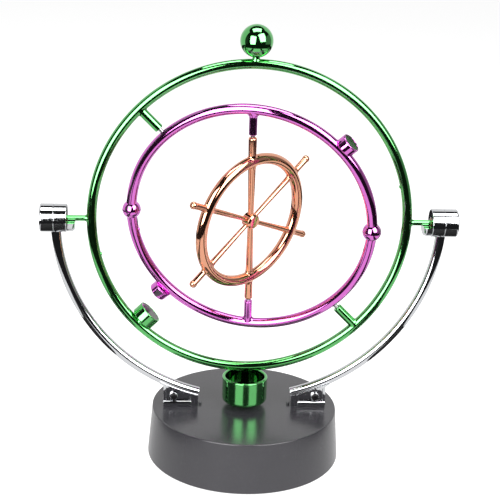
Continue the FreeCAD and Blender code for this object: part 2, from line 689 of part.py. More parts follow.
# ---------------------------------------------------------------------------
# Middle ring
# ---------------------------------------------------------------------------
def middle_ring():
    solid = ring_tube(MIDDLE_R, MIDDLE_TUBE_R)
    beads = [Part.makeSphere(BEAD_R, radial(a, MIDDLE_R)) for a in (0, 180)]
    stubs = [cyl(MIDDLE_STUB_R, radial(a, MIDDLE_R), radial(a, MIDDLE_STUB_IN)) for a in WHEEL_STUBS]
    roots = [taper(MIDDLE_ROOT_R, MIDDLE_STUB_R, radial(a, MIDDLE_R - 1), radial(a, MIDDLE_R - MIDDLE_ROOT_L))
             for a in WHEEL_STUBS]
    nub_in = MIDDLE_R - MIDDLE_TUBE_R - NUB_STANDS
    nub = cyl(0.7, radial(MIDDLE_NUB_DEG, MIDDLE_R - 1), radial(MIDDLE_NUB_DEG, nub_in))
    solid = fuse(solid, nub, *beads, *stubs, *roots)
    cuts = [cyl(WHEEL_PIN_R + RUN_GAP, radial(a, MIDDLE_STUB_IN - 1), radial(a, WHEEL_PIN_OUT + 0.3))
            for a in WHEEL_STUBS]
    cuts += [cyl(MIDDLE_PIN_R, radial(a, MIDDLE_PIN_IN), radial(a, MIDDLE_PIN_OUT)) for _, a in MIDDLE_PINS]
    for _, a in MIDDLE_MAGNETS:
        cuts.append(cyl(MIDDLE_DRUM_R, radial(a, MIDDLE_DRUM_BACK), radial(a, MIDDLE_DRUM_FACE)))
        cuts.append(cyl(PEG_FIT_R, radial(a, MIDDLE_R), radial(a, MIDDLE_DRUM_BACK + 1)))
    return place_middle(solid.cut(cuts))


def middle_magnet_parts(angle):
    shapes = magnet_drum(angle, MIDDLE_DRUM_R, MIDDLE_DRUM_FACE, MIDDLE_DRUM_BACK, MIDDLE_MAGNET_R,
                         MIDDLE_MAGNET_T, MIDDLE_R)
    return [place_middle(shape) for shape in shapes]


def middle_pin(angle):
    return place_middle(cyl(MIDDLE_PIN_R, radial(angle, MIDDLE_PIN_IN), radial(angle, MIDDLE_PIN_OUT)))


# ---------------------------------------------------------------------------
# Wheel
# ---------------------------------------------------------------------------
def wheel_rod(angle, r_hub, r_out, stop):
    return taper(r_hub, r_out, radial(angle, HUB_R - 1.5), radial(angle, stop))


def spoke_outline(angle):
    """Tapered spoke that thickens towards the rim, with a ball beyond it."""
    bar = wheel_rod(angle, SPOKE_HUB_R, SPOKE_RIM_R, SPOKE_TIP_AT)
    return fuse(bar, Part.makeSphere(SPOKE_BALL_R, radial(angle, SPOKE_TIP_AT)))


def axle_outline(angle):
    rod = wheel_rod(angle, AXLE_HUB_R, AXLE_END_R, AXLE_END)
    tip = [e for e in rod.Edges if e.Closed and abs(e.Curve.Center.Length - AXLE_END) < 1e-4]
    return rod.makeFillet(AXLE_END_ROUND, tip)


def wheel_hub():
    profile = [V(0, -HUB_HALF_L, 0), V(HUB_R - 0.9, -HUB_HALF_L, 0), V(HUB_R, -HUB_HALF_L + 0.9, 0),
               V(HUB_R, HUB_HALF_L - 0.9, 0), V(HUB_R - 0.9, HUB_HALF_L, 0), V(0, HUB_HALF_L, 0)]
    solid = turned(profile, V(0, 0, 0), Y)
    return place_wheel(solid.cut(spoke_cutters()))


def spoke_cutters():
    return [spoke_outline(a) for a in SPOKE_DEGS] + [axle_outline(a) for a in WHEEL_STUBS]


def wheel_rim():
    solid = ring_tube(WHEEL_R, WHEEL_TUBE_R)
    nub_out = WHEEL_R + WHEEL_TUBE_R + NUB_STANDS
    nub = cyl(0.7, radial(WHEEL_NUB_DEG, WHEEL_R + 1), radial(WHEEL_NUB_DEG, nub_out))
    return place_wheel(fuse(solid, nub).cut(spoke_cutters()))


def wheel_axle(angle):
    return place_wheel(axle_outline(angle).cut(wheel_pin(angle)))


def wheel_pin(angle):
    return cyl(WHEEL_PIN_R, radial(angle, WHEEL_PIN_IN), radial(angle, WHEEL_PIN_OUT))


def wheel_pins():
    return place_wheel(Part.makeCompound([wheel_pin(a) for a in WHEEL_STUBS]))


# ---------------------------------------------------------------------------
# Write every node
# ---------------------------------------------------------------------------
def main():
    os.makedirs("parts", exist_ok=True)
    for build in (base_cover, bottom_plate, battery_door, rubber_feet, plate_screws, contact_springs,
                  contact_plates, coil_bobbin, coil_winding, coil_core, circuit_board, transistor, capacitor,
                  resistors, coil_leads, battery_leads, clamp_screws, shoe_screws, outer_ring, top_ball,
                  bottom_cup, cup_magnet, middle_ring, wheel_rim, wheel_hub, wheel_pins):
        save(build.__name__, build())
    for i in range(4):
        save("battery_cell_%d" % (i + 1), battery_cell(i))
        save("wheel_spoke_%d" % (i + 1), place_wheel(spoke_outline(SPOKE_DEGS[i])))
    for word, side in SIDES:
        for build in (arm, arm_shoe, bearing_housing, bearing_cap, bearing_bush, side_pin):
            save("%s_%s" % (build.__name__, word), build(side))
    pot, magnet = outer_magnet_parts()
    save("outer_magnet_cup", pot)
    save("outer_magnet", magnet)
    for word, angle in MIDDLE_MAGNETS:
        pot, magnet = middle_magnet_parts(angle)
        save("middle_magnet_cup_%s" % word, pot)
        save("middle_magnet_%s" % word, magnet)
    for word, angle in MIDDLE_PINS:
        save("middle_pin_%s" % word, middle_pin(angle))
    for word, angle in zip(("upper", "lower"), WHEEL_STUBS):
        save("wheel_axle_%s" % word, wheel_axle(angle))


main()
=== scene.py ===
"""Magnetic desk sculpture: a dark moulded base, two chromed rod arms with bearing drums, and three
lacquered assemblies that turn one inside another."""

import json
import logging
import math
from dataclasses import dataclass
from enum import Enum

import bpy
import numpy as np
from mathutils import Matrix, Vector

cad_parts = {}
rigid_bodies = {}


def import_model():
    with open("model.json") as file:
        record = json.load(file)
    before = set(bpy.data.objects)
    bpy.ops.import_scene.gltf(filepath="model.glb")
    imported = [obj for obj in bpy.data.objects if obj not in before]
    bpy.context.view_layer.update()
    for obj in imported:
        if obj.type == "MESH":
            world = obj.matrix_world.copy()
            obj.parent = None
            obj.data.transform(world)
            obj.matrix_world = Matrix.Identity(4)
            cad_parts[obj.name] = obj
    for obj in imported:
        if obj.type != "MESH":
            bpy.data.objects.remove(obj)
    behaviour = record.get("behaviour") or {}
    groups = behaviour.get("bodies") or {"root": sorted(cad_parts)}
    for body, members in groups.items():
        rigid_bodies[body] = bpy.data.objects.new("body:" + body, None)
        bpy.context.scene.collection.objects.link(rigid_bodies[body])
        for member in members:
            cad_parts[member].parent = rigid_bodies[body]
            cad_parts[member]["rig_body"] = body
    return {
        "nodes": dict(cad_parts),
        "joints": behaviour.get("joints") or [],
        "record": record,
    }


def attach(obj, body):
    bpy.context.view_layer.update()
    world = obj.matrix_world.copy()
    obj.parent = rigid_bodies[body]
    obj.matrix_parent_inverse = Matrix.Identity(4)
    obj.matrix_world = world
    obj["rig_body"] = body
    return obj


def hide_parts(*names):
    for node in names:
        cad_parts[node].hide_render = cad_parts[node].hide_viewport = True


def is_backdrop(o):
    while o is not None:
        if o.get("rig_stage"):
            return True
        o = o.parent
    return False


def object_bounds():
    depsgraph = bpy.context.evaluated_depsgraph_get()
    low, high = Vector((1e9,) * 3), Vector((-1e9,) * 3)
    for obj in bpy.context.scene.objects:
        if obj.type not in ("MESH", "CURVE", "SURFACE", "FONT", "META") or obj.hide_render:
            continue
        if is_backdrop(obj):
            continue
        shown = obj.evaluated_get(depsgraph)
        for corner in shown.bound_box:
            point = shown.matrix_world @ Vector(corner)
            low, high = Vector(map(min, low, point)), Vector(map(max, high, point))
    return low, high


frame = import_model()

LOG = logging.getLogger("desk_sculpture")
Array = np.ndarray
Tree = bpy.types.NodeTree
Node = bpy.types.Node
Socket = bpy.types.NodeSocket
MM = 0.001
MICRON = 1e-6
CAD_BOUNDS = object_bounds()
SLOT_OF = {row["node"]: row["material_slot"] for row in frame["record"]["subparts"]}
JOINTS = {joint["name"]: joint for joint in frame["joints"]}
SIDES = (("left", -1.0), ("right", 1.0))


# Surfaces
@dataclass
class Shell:
    """A closed surface: points in local millimetres and arrays of faces, one array per face size."""

    points: Array
    faces: list[Array]


@dataclass(frozen=True)
class Axes:
    """Local right-handed axes: x and z lie in a ring's plane, y is its normal. The origin is in metres."""

    origin: Array
    x: Array
    y: Array
    z: Array

    def place(self, points: Array) -> Array:
        """Local millimetres to metres in the shared frame: origin + x*X + y*Y + z*Z."""
        return self.origin + MM * points @ np.stack([self.x, self.y, self.z])


def ring_axes(centre: Array, zero: Array, quarter: Array) -> Axes:
    """Axes of a ring from the directions of its 0 and 90 degree points.

    Args:
        centre: the ring's centre, in metres.
        zero: direction of the 0 degree point, which becomes local x.
        quarter: direction of the 90 degree point, which becomes local z.

    Returns:
        Axes whose y is z cross x.
    """
    x, z = zero / np.linalg.norm(zero), quarter / np.linalg.norm(quarter)
    return Axes(centre, x, np.cross(z, x), z)


def polar(degrees: float, distance: float) -> Array:
    """Local point (d cos a, 0, d sin a) in a ring's plane."""
    a = math.radians(degrees)
    return np.array([distance * math.cos(a), 0.0, distance * math.sin(a)])


def on_floor(degrees: float, distance: float) -> Array:
    """Local point (d cos a, d sin a, 0)."""
    return polar(degrees, distance)[[0, 2, 1]]


def outward(shell: Shell) -> Shell:
    """Turns the faces over if the enclosed volume is negative.

    The volume is the sum of a . (b x c) / 6 over the fan triangles (a, b, c) of every face.

    Args:
        shell: a closed surface.

    Returns:
        The same shell.
    """
    volume = 0.0
    for faces in shell.faces:
        first = shell.points[faces[:, :1]]
        second, third = shell.points[faces[:, 1:-1]], shell.points[faces[:, 2:]]
        volume += float((first * np.cross(second, third)).sum())
    if volume < 0:
        shell.faces = [faces[:, ::-1] for faces in shell.faces]
    return shell


class Ends(Enum):
    """How a stack of outlines is finished."""

    RING = "the last outline joins the first"
    POLES = "a fan of triangles closes each end"
    PLATES = "one flat face closes each end"


def loft(rows: Array, ends: Ends = Ends.POLES, poles: Array | None = None) -> Shell:
    """Skins a stack of closed outlines.

    Point j of outline i has index i*m + j, and a quad joins (i, j), (i, j+1), (i+1, j+1), (i+1, j).

    Args:
        rows: points of shape (outlines, points per outline, 3).
        ends: how the first and last outlines are closed.
        poles: the two fan centres; the outlines' mean points if not given.

    Returns:
        The closed shell, its faces outwards.
    """
    n, m, _ = rows.shape
    grid = np.arange(n * m).reshape(n, m)
    ring = ends is Ends.RING
    low, high = (grid, np.roll(grid, -1, 0)) if ring else (grid[:-1], grid[1:])
    quads = np.stack([low, np.roll(low, -1, 1), np.roll(high, -1, 1), high], -1).reshape(-1, 4)
    points, faces = rows.reshape(-1, 3), [quads]
    if ends is Ends.PLATES:
        faces.append(np.stack([grid[0, ::-1], grid[-1]]))
    elif ends is Ends.POLES:
        points = np.vstack([points, rows[[0, -1]].mean(axis=1) if poles is None else poles])
        faces.append(np.stack([np.full(m, n * m), np.roll(grid[0], -1), grid[0]], -1))
        faces.append(np.stack([np.full(m, n * m + 1), grid[-1], np.roll(grid[-1], -1)], -1))
    return outward(Shell(points, faces))


def rounded(outline: list[tuple[float, float]], radii: list[float], steps: int = 7,
            closed: bool = False) -> Array:
    """Rounds an outline's corners with true arcs.

    Between a corner C's tangent points A and B the arc is the rational curve
    ((1-t)^2 A + 2 w t (1-t) C + t^2 B) / ((1-t)^2 + 2 w t (1-t) + t^2), where w is the sine of half the inner
    angle. One more point on each straight run beside the arc keeps the flats flat in the shading.

    Args:
        outline: the sharp corners.
        radii: one radius per corner; an open outline's first and last corners stay as they are.
        steps: arc points per corner.
        closed: whether the last corner runs back to the first.

    Returns:
        The rounded outline.
    """
    corners, radius = np.array(outline, float), np.array(radii, float)
    here, radius = (corners, radius) if closed else (corners[1:-1], radius[1:-1])
    back = np.roll(corners, 1, 0) if closed else corners[:-2]
    ahead = np.roll(corners, -1, 0) if closed else corners[2:]
    to_back, to_ahead = back - here, ahead - here
    to_back /= np.linalg.norm(to_back, axis=1, keepdims=True)
    to_ahead /= np.linalg.norm(to_ahead, axis=1, keepdims=True)
    half = np.arccos(np.clip((to_back * to_ahead).sum(1), -1.0, 1.0)) / 2
    reach = (np.maximum(radius, 0.02) / np.tan(half))[:, None]
    start, stop = here + to_back * reach, here + to_ahead * reach
    t = np.linspace(0.0, 1.0, steps)[None, :, None]
    w = np.sin(half)[:, None, None]
    top = (1 - t) ** 2 * start[:, None] + 2 * w * t * (1 - t) * here[:, None] + t**2 * stop[:, None]
    arcs = top / ((1 - t) ** 2 + 2 * w * t * (1 - t) + t**2)
    spare = 0.12 * reach[:, None]
    arcs = np.concatenate([start[:, None] + to_back[:, None] * spare, arcs,
                           stop[:, None] + to_ahead[:, None] * spare], axis=1).reshape(-1, 2)
    return arcs if closed else np.vstack([corners[:1], arcs, corners[-1:]])


def side_axes(along: Array) -> tuple[Array, Array]:
    """Two unit directions square to an axis and to each other.

    Args:
        along: unit direction of the axis.

    Returns:
        The two directions.
    """
    helper = np.array([0.0, 1.0, 0.0]) if abs(along[1]) < 0.9 else np.array([1.0, 0.0, 0.0])
    first = np.cross(helper, along)
    first /= np.linalg.norm(first)
    return first, np.cross(along, first)


def lathe(start: Array, along: Array, profile: Array, steps: int = 96, ring: bool = False) -> Shell:
    """Turns a profile about an axis: point = start + s*axis + r*(cos t * side + sin t * other side).

    Args:
        start: local point where s is 0.
        along: direction of the axis.
        profile: rows of (s, r) in millimetres, beginning and ending on the axis unless ring is set.
        steps: points per turn.
        ring: whether the profile is a closed outline clear of the axis.

    Returns:
        The closed shell.
    """
    along = along / np.linalg.norm(along)
    first, second = side_axes(along)
    t = np.linspace(0.0, 2 * np.pi, steps, endpoint=False)[None, :, None]
    spin = np.cos(t) * first + np.sin(t) * second
    body = profile if ring else profile[1:-1]
    rows = start + body[:, :1, None] * along + body[:, 1:, None] * spin
    poles = start + profile[[0, -1], :1] * along
    return loft(rows, Ends.RING if ring else Ends.POLES, None if ring else poles)


def turned(start: Array, along: Array, corners: list[tuple[float, float]], radii: list[float],
           steps: int = 96, ring: bool = False) -> Shell:
    """Lathe of a rounded outline.

    Args:
        start: local point where the outline's first coordinate is 0.
        along: direction of the axis.
        corners: sharp outline of (s, r) in millimetres.
        radii: one rounding radius per corner.
        steps: points per turn.
        ring: whether the outline is closed and clear of the axis.

    Returns:
        The closed shell.
    """
    return lathe(start, along, rounded(corners, radii, closed=ring), steps, ring)


def plug(start: Array, along: Array, span: tuple[float, float], radius: float, edges: tuple[float, float],
         steps: int, end_r: float | None = None) -> Shell:
    """Solid round bar with rounded end edges.

    Args:
        start: local point from which the span is counted.
        along: direction of the axis.
        span: where the bar begins and ends.
        radius: the bar's radius at its beginning.
        edges: the rounding at each end.
        steps: points per turn.
        end_r: the radius at its end, if it tapers.

    Returns:
        The closed shell.
    """
    low, high = span
    outline = [(low, 0.0), (low, radius), (high, end_r or radius), (high, 0.0)]
    return turned(start, along, outline, [0.0, *edges, 0.0], steps)


def sleeve(start: Array, along: Array, span: tuple[float, float], inner: float, outer: float,
           edges: list[float], steps: int) -> Shell:
    """Round bar with a hole through it.

    Args:
        start: local point from which the span is counted.
        along: direction of the axis.
        span: where the bar begins and ends.
        inner: the hole's radius.
        outer: the bar's radius.
        edges: the rounding of its near inner, near outer, far outer and far inner edges.
        steps: points per turn.

    Returns:
        The closed shell.
    """
    low, high = span
    outline = [(low, inner), (low, outer), (high, outer), (high, inner)]
    return turned(start, along, outline, edges, steps, True)


def ball(centre: Array, radius: float, steps: int = 64) -> Shell:
    """Sphere as a turned half circle: (s, r) = R (-cos u, sin u).

    Args:
        centre: its local centre.
        radius: its radius R.
        steps: points per turn.

    Returns:
        The closed shell.
    """
    u = np.linspace(0.0, np.pi, steps // 2 + 1)
    profile = radius * np.stack([-np.cos(u), np.sin(u)], -1)
    return lathe(centre, np.array([0.0, 1.0, 0.0]), profile, steps)


def ring_tube(radius: float, tube_r: float, steps: int = 288, sides: int = 48) -> Shell:
    """Ring tube: point = (R + r cos s) (cos t, 0, sin t) + (0, r sin s, 0).

    Args:
        radius: the ring's radius R.
        tube_r: the tube's radius r.
        steps: points round the ring.
        sides: points round the tube.

    Returns:
        The closed shell.
    """
    t = np.linspace(0.0, 2 * np.pi, steps, endpoint=False)[:, None]
    s = np.linspace(0.0, 2 * np.pi, sides, endpoint=False)[None, :]
    reach = radius + tube_r * np.cos(s)
    rows = np.stack([reach * np.cos(t), tube_r * np.sin(s) + 0 * t, reach * np.sin(t)], -1)
    return loft(rows, Ends.RING)


@dataclass(frozen=True)
class Host:
    """The ring tube that a bar grows out of."""

    radius: float
    tube_r: float

    def branch(self, degrees: float, way: float, bar_r: float, fillet: float, tail: Array,
               sides: int = 64) -> Shell:
        """Bar that leaves the tube square to it, with a moulded fillet at its root.

        Round the bar's angle f the root's radius is the smooth lesser of bar_r + fillet and the width at
        which it would leave the tube, 0.985 tube_r / |sin f|; the root sits on the tube at the height
        sqrt(tube_r^2 - (radius sin f)^2). Up the fillet the extra radius fades as (1 - u)^2.2.

        Args:
            degrees: where on the ring the bar stands.
            way: 1 for a bar pointing away from the centre, -1 towards it.
            bar_r: the bar's radius just past the fillet.
            fillet: how far the fillet reaches along the ring.
            tail: rows of (s, r) for the bar past the fillet, ending on the axis.
            sides: points round the bar.

        Returns:
            The closed shell, its first end hidden in the tube.
        """
        a = math.radians(degrees)
        along = way * polar(degrees, 1.0)
        tangent, normal = np.array([-math.sin(a), 0.0, math.cos(a)]), np.array([0.0, 1.0, 0.0])
        f = np.linspace(0.0, 2 * np.pi, sides, endpoint=False)
        limit = 0.985 * self.tube_r / np.maximum(np.abs(np.sin(f)), 1e-3)
        root = ((bar_r + fillet) ** -8.0 + limit**-8.0) ** -0.125
        seat = np.sqrt(np.maximum(self.tube_r**2 - (root * np.sin(f)) ** 2, 0.0)) - 0.15
        u = np.linspace(0.0, 1.0, 9)[:, None]
        top = self.tube_r + 1.2 * fillet
        radius = bar_r + (root - bar_r) * (1 - u) ** 2.2
        height = seat * (1 - u) + top * u
        plain = np.ones(sides)
        radius = np.vstack([0.6 * bar_r * plain, radius, tail[:-1, 1:] * plain])
        height = np.vstack([0.0 * plain, height, tail[:-1, :1] * plain])
        spin = np.cos(f)[:, None] * tangent + np.sin(f)[:, None] * normal
        rows = polar(degrees, self.radius) + height[..., None] * along + radius[..., None] * spin
        poles = polar(degrees, self.radius) + np.array([[0.0], [tail[-1, 0]]]) * along
        return loft(rows, Ends.POLES, poles)

    def tube(self, steps: int = 288, sides: int = 48) -> Shell:
        """The ring tube itself."""
        return ring_tube(self.radius, self.tube_r, steps, sides)


def bored_tail(top: float, end: float, radius: float, bore_r: float, bore_depth: float) -> Array:
    """Outline of a bar's far end with a blind bore in its face, from just past the root fillet.

    Args:
        top: where the outline begins.
        end: the bar's end face.
        radius: the bar's radius.
        bore_r: the bore's radius.
        bore_depth: the bore's depth.

    Returns:
        Rows of (s, r), as Host.branch takes them.
    """
    floor = end - bore_depth
    corners = [(top, radius), (end, radius), (end, bore_r), (floor, bore_r), (floor, 0.0)]
    return rounded(corners, [0.0, 0.35, 0.12, 0.1, 0.0])[1:]


def plain_tail(top: float, end: float, radius: float, edge: float) -> Array:
    """Outline of a bar's far end with a rounded edge, from just past the root fillet."""
    return rounded([(top, radius), (end, radius), (end, 0.0)], [0.0, edge, 0.0])[1:]


# Finishes
def linear(code: str) -> tuple[float, float, float, float]:
    """An sRGB hex colour such as 8FA0B1 as linear red, green, blue and an alpha of 1.

    Args:
        code: the six hex digits.

    Returns:
        The four linear values.
    """
    srgb = np.array([int(code[i:i + 2], 16) for i in (0, 2, 4)]) / 255.0
    out = np.where(srgb <= 0.04045, srgb / 12.92, ((srgb + 0.055) / 1.055) ** 2.4)
    return float(out[0]), float(out[1]), float(out[2]), 1.0


def add_node(tree: Tree, kind: str, settings: dict | None = None, inputs: dict | None = None) -> Node:
    """Adds a node to a tree.

    Args:
        tree: the node tree.
        kind: the node's type.
        settings: properties of the node.
        inputs: constants, or other nodes' output sockets, by socket name or number.

    Returns:
        The new node.
    """
    node = tree.nodes.new(kind)
    for key, value in (settings or {}).items():
        setattr(node, key, value)
    for key, value in (inputs or {}).items():
        if isinstance(value, Socket):
            tree.links.new(value, node.inputs[key])
        else:
            node.inputs[key].default_value = value
    return node


def grain(tree: Tree, place: Socket, size_mm: float, detail: float, span: tuple[float, float],
          rough: tuple[float, float], broken: float = 0.5) -> tuple[Socket, Socket]:
    """Noise of one grain size, and the roughness that follows it.

    Args:
        tree: the node tree.
        place: the coordinates.
        size_mm: the grain's size.
        detail: how many finer layers lie in the grain.
        span: the noise values between which the roughness changes.
        rough: the roughness at each end of the span.
        broken: how strong the finer layers are.

    Returns:
        The noise's socket and the roughness's socket.
    """
    noise = add_node(tree, "ShaderNodeTexNoise",
                     inputs={"Vector": place, "Scale": 1 / (size_mm * MM), "Detail": detail,
                             "Roughness": broken})
    spread = add_node(tree, "ShaderNodeMapRange",
                      inputs={"Value": noise.outputs["Fac"], "From Min": span[0], "From Max": span[1],
                              "To Min": rough[0], "To Max": rough[1]})
    return noise.outputs["Fac"], spread.outputs[0]


def patterned(tree: Tree, tones: tuple[str, str], tone_by: Socket, height: Socket, depth: float,
              inputs: dict, strength: float = 1.0) -> Node:
    """Surface shader whose colour and bump follow patterns.

    Args:
        tree: the node tree.
        tones: the two hex colours that are mixed.
        tone_by: the pattern that mixes them.
        height: the pattern that bumps the surface.
        depth: the bump's depth, in metres.
        inputs: the shader's other inputs, as add_node takes them.
        strength: how far the bump turns the surface.

    Returns:
        The shader.
    """
    tone = add_node(tree, "ShaderNodeMix", {"data_type": "RGBA"},
                    {0: tone_by, 6: linear(tones[0]), 7: linear(tones[1])})
    bump = add_node(tree, "ShaderNodeBump",
                    inputs={"Strength": strength, "Distance": depth, "Height": height})
    return add_node(tree, "ShaderNodeBsdfPrincipled",
                    inputs={"Base Color": tone.outputs[2], "Normal": bump.outputs[0], **inputs})


@dataclass(frozen=True)
class Finish:
    """A named finish; its material is made once and shared."""

    name: str

    def material(self) -> bpy.types.Material:
        """The finish's material, made on first use.

        Returns:
            The material that all pieces of this finish share.
        """
        found = bpy.data.materials.get(self.name)
        if found is None:
            found = bpy.data.materials.new(self.name)
            found.use_nodes = True
            found.node_tree.nodes.clear()
            tree = found.node_tree
            shader = self.shader(tree, add_node(tree, "ShaderNodeTexCoord").outputs["Object"])
            add_node(tree, "ShaderNodeOutputMaterial", inputs={"Surface": shader.outputs[0]})
        return found

    def shader(self, tree: Tree, place: Socket) -> Node:
        """Builds the finish's nodes over the piece's own coordinates and returns its shader."""
        raise NotImplementedError


@dataclass(frozen=True)
class BrightCoat(Finish):
    """Plated or lacquered metal: mirror-like, with the faint ripple and haze of a dipped or sprayed coat."""

    tone: str
    deep_tone: str
    roughness: float = 0.05
    haze: float = 0.05
    ripple_mm: float = 3.2
    ripple_depth_um: float = 6.0
    coat: float = 0.0
    drift_mm: float = 22.0
    mottle_mm: float = 1.4

    def shader(self, tree: Tree, place: Socket) -> Node:
        """Tone drifts over centimetres and roughness over millimetres, and a slow bump ripples the mirror.

        Args:
            tree: the material's node tree.
            place: the piece's own coordinates.

        Returns:
            The shader.
        """
        drift = add_node(tree, "ShaderNodeTexNoise",
                         inputs={"Vector": place, "Scale": 1 / (self.drift_mm * MM), "Detail": 2.0})
        ripple = add_node(tree, "ShaderNodeTexNoise",
                          inputs={"Vector": place, "Scale": 1 / (self.ripple_mm * MM), "Detail": 1.0})
        rough = grain(tree, place, self.mottle_mm, 4.0, (0.35, 0.75),
                      (self.roughness, self.roughness + self.haze))[1]
        return patterned(tree, (self.tone, self.deep_tone), drift.outputs["Fac"], ripple.outputs["Fac"],
                         self.ripple_depth_um * MICRON,
                         {"Metallic": 1.0, "Roughness": rough, "Coat Weight": self.coat,
                          "Coat Roughness": 0.03})


@dataclass(frozen=True)
class Moulded(Finish):
    """Moulded plastic or rubber with a fine eroded grain from its tool."""

    tone: str
    fleck: str
    roughness: float
    grain_mm: float
    grain_depth_um: float
    ior: float = 1.53
    cloud_mm: float = 9.0

    def shader(self, tree: Tree, place: Socket) -> Node:
        """Grain sets the bump and the roughness, and a slower cloud the colour drift of moulded resin.

        Args:
            tree: the material's node tree.
            place: the piece's own coordinates.

        Returns:
            The shader.
        """
        cloud = add_node(tree, "ShaderNodeTexNoise",
                         inputs={"Vector": place, "Scale": 1 / (self.cloud_mm * MM), "Detail": 5.0})
        height, rough = grain(tree, place, self.grain_mm, 3.0, (0.3, 0.7),
                              (self.roughness - 0.04, self.roughness + 0.06), 0.6)
        return patterned(tree, (self.tone, self.fleck), cloud.outputs["Fac"], height,
                         self.grain_depth_um * MICRON, {"Roughness": rough, "IOR": self.ior})


@dataclass(frozen=True)
class Ground(Finish):
    """Worked bare metal, such as ground, zinc plated or sintered, with a fine directionless scratch."""

    tone: str
    deep_tone: str
    roughness: float
    grain_mm: float = 0.5
    grain_depth_um: float = 4.0

    def shader(self, tree: Tree, place: Socket) -> Node:
        """Cells of worked grain vary the tone, the roughness and the bump together.

        Args:
            tree: the material's node tree.
            place: the piece's own coordinates.

        Returns:
            The shader.
        """
        worked, rough = grain(tree, place, self.grain_mm, 6.0, (0.3, 0.7),
                              (self.roughness * 0.75, self.roughness * 1.3))
        return patterned(tree, (self.tone, self.deep_tone), worked, worked, self.grain_depth_um * MICRON,
                         {"Metallic": 1.0, "Roughness": rough})


@dataclass(frozen=True)
class Wound(Finish):
    """Enamelled wire wound in layers: bands one wire wide round the coil's axis, with painted shade darkening
    the grooves between the wires.
    """

    tone: str
    # deep_tone is painted shade: the colour given to the grooves between the wires.
    deep_tone: str
    wire_mm: float
    groove_um: float = 100.0

    def shader(self, tree: Tree, place: Socket) -> Node:
        """A sine in height, one period per wire, bumps the winding and paints shade into it: the darker tone
        lies in the grooves, the lighter on the crests.

        Args:
            tree: the material's node tree.
            place: the piece's own coordinates.

        Returns:
            The shader.
        """
        wave = add_node(tree, "ShaderNodeTexWave", {"bands_direction": "Z", "wave_profile": "SIN"},
                        {"Vector": place, "Scale": math.pi / (10 * self.wire_mm * MM), "Distortion": 0.6,
                         "Detail": 2.0, "Detail Scale": 2.0}).outputs["Fac"]
        # Painted shade: the sine that lowers the surface into each groove also mixes in the darker tone
        # there.
        return patterned(tree, (self.deep_tone, self.tone), wave, wave, self.groove_um * MICRON,
                         {"Metallic": 0.8, "Roughness": 0.3}, 0.8)


@dataclass(frozen=True)
class Sleeved(Finish):
    """A dry cell's printed shrink sleeve: a dark body and a coppery band towards one end, no lettering."""

    band: str
    body: str
    way: float
    split_mm: float = 8.0
    wrinkle_mm: float = 2.5
    wrinkle_um: float = 10.0

    def shader(self, tree: Tree, place: Socket) -> Node:
        """The colour steps along Y at the split, over half a millimetre; the film has a faint wrinkle.

        Args:
            tree: the material's node tree.
            place: the piece's own coordinates.

        Returns:
            The shader.
        """
        height = add_node(tree, "ShaderNodeSeparateXYZ", inputs={"Vector": place}).outputs["Y"]
        edge, soft = self.way * self.split_mm * MM, self.way * 0.25 * MM
        step = add_node(tree, "ShaderNodeMapRange",
                        inputs={"Value": height, "From Min": edge - soft, "From Max": edge + soft})
        film = add_node(tree, "ShaderNodeTexNoise",
                        inputs={"Vector": place, "Scale": 1 / (self.wrinkle_mm * MM)})
        return patterned(tree, (self.body, self.band), step.outputs[0], film.outputs["Fac"],
                         self.wrinkle_um * MICRON,
                         {"Metallic": 0.7, "Roughness": 0.28, "Coat Weight": 0.6, "Coat Roughness": 0.1})


# Vacuum-metallised ABS under clear green lacquer: pale mint where it mirrors a lamp, near black in between.
GREEN_COAT = BrightCoat("metallised_abs_green_lacquer", "62B96A", "58AE60", 0.055, 0.05, coat=0.35)
# The same coat in magenta-purple lacquer: pink-violet highlights over a deep plum.
PURPLE_COAT = BrightCoat("metallised_abs_purple_lacquer", "D974CF", "CC66C2", 0.055, 0.05, coat=0.35)
# The same coat in a copper tint: warm rose highlights and brown-black mirrors.
COPPER_COAT = BrightCoat("metallised_abs_copper_lacquer", "E3A283", "DA9676", 0.07, 0.06, coat=0.3)
# Bright chrome on bent steel rod and pressed brackets: a clean neutral mirror.
CHROME_ROD = BrightCoat("bright_chrome_on_steel_rod", "D2D3D5", "C8CACD", 0.04, 0.04, ripple_depth_um=3.0)
# Bright chrome on moulded ABS drums: the same mirror, a little softer.
CHROME_DRUM = BrightCoat("bright_chrome_on_moulded_abs", "CFD0D2", "C4C6C9", 0.05, 0.05, ripple_depth_um=5.0)
# Satin moulded ABS in graphite grey: an even charcoal that mirrors softly only at a low angle.
GRAPHITE_ABS = Moulded("satin_moulded_abs_graphite", "2B2A2E", "252428", 0.22, 0.35, 3.0, 1.6)
# Plain moulded ABS, darker and duller than the cover.
BLACK_ABS = Moulded("moulded_abs_black", "26262A", "202024", 0.5, 0.5, 14.0)
# Moulded nitrile rubber: near black with no gloss.
FOOT_RUBBER = Moulded("moulded_nitrile_rubber", "1B1B1C", "222223", 0.75, 0.7, 30.0, 1.52)
# Black-nickel plated sintered magnet: a dark warm grey mirror.
NICKEL_MAGNET = BrightCoat("black_nickel_on_sintered_magnet", "474341", "353230", 0.16, 0.08, 1.1, 6.0)
# Ground stainless pins: a grey sheen.
PIN_STEEL = Ground("centreless_ground_stainless_steel", "C2C2C4", "A2A2A6", 0.22, 0.3, 2.0)
# Zinc-plated screws: pale blue-grey and slightly dull.
SCREW_ZINC = Ground("bright_zinc_plated_screw_steel", "B4B7BD", "8D9097", 0.32)
# Black-oxide socket screws: near black with a soft sheen.
BLACK_SCREW = Ground("black_oxide_screw_steel", "353435", "222223", 0.45)
# Sintered bronze bushes: brown-gold with open pores.
SINTERED_BRONZE = Ground("oil_filled_sintered_bronze", "B88A4A", "7E5A2C", 0.42, 0.35, 12.0)
# Soft iron core: dark grey, dull.
SOFT_IRON = Ground("annealed_soft_iron", "6E6C6A", "4F4D4C", 0.5, 0.8, 10.0)
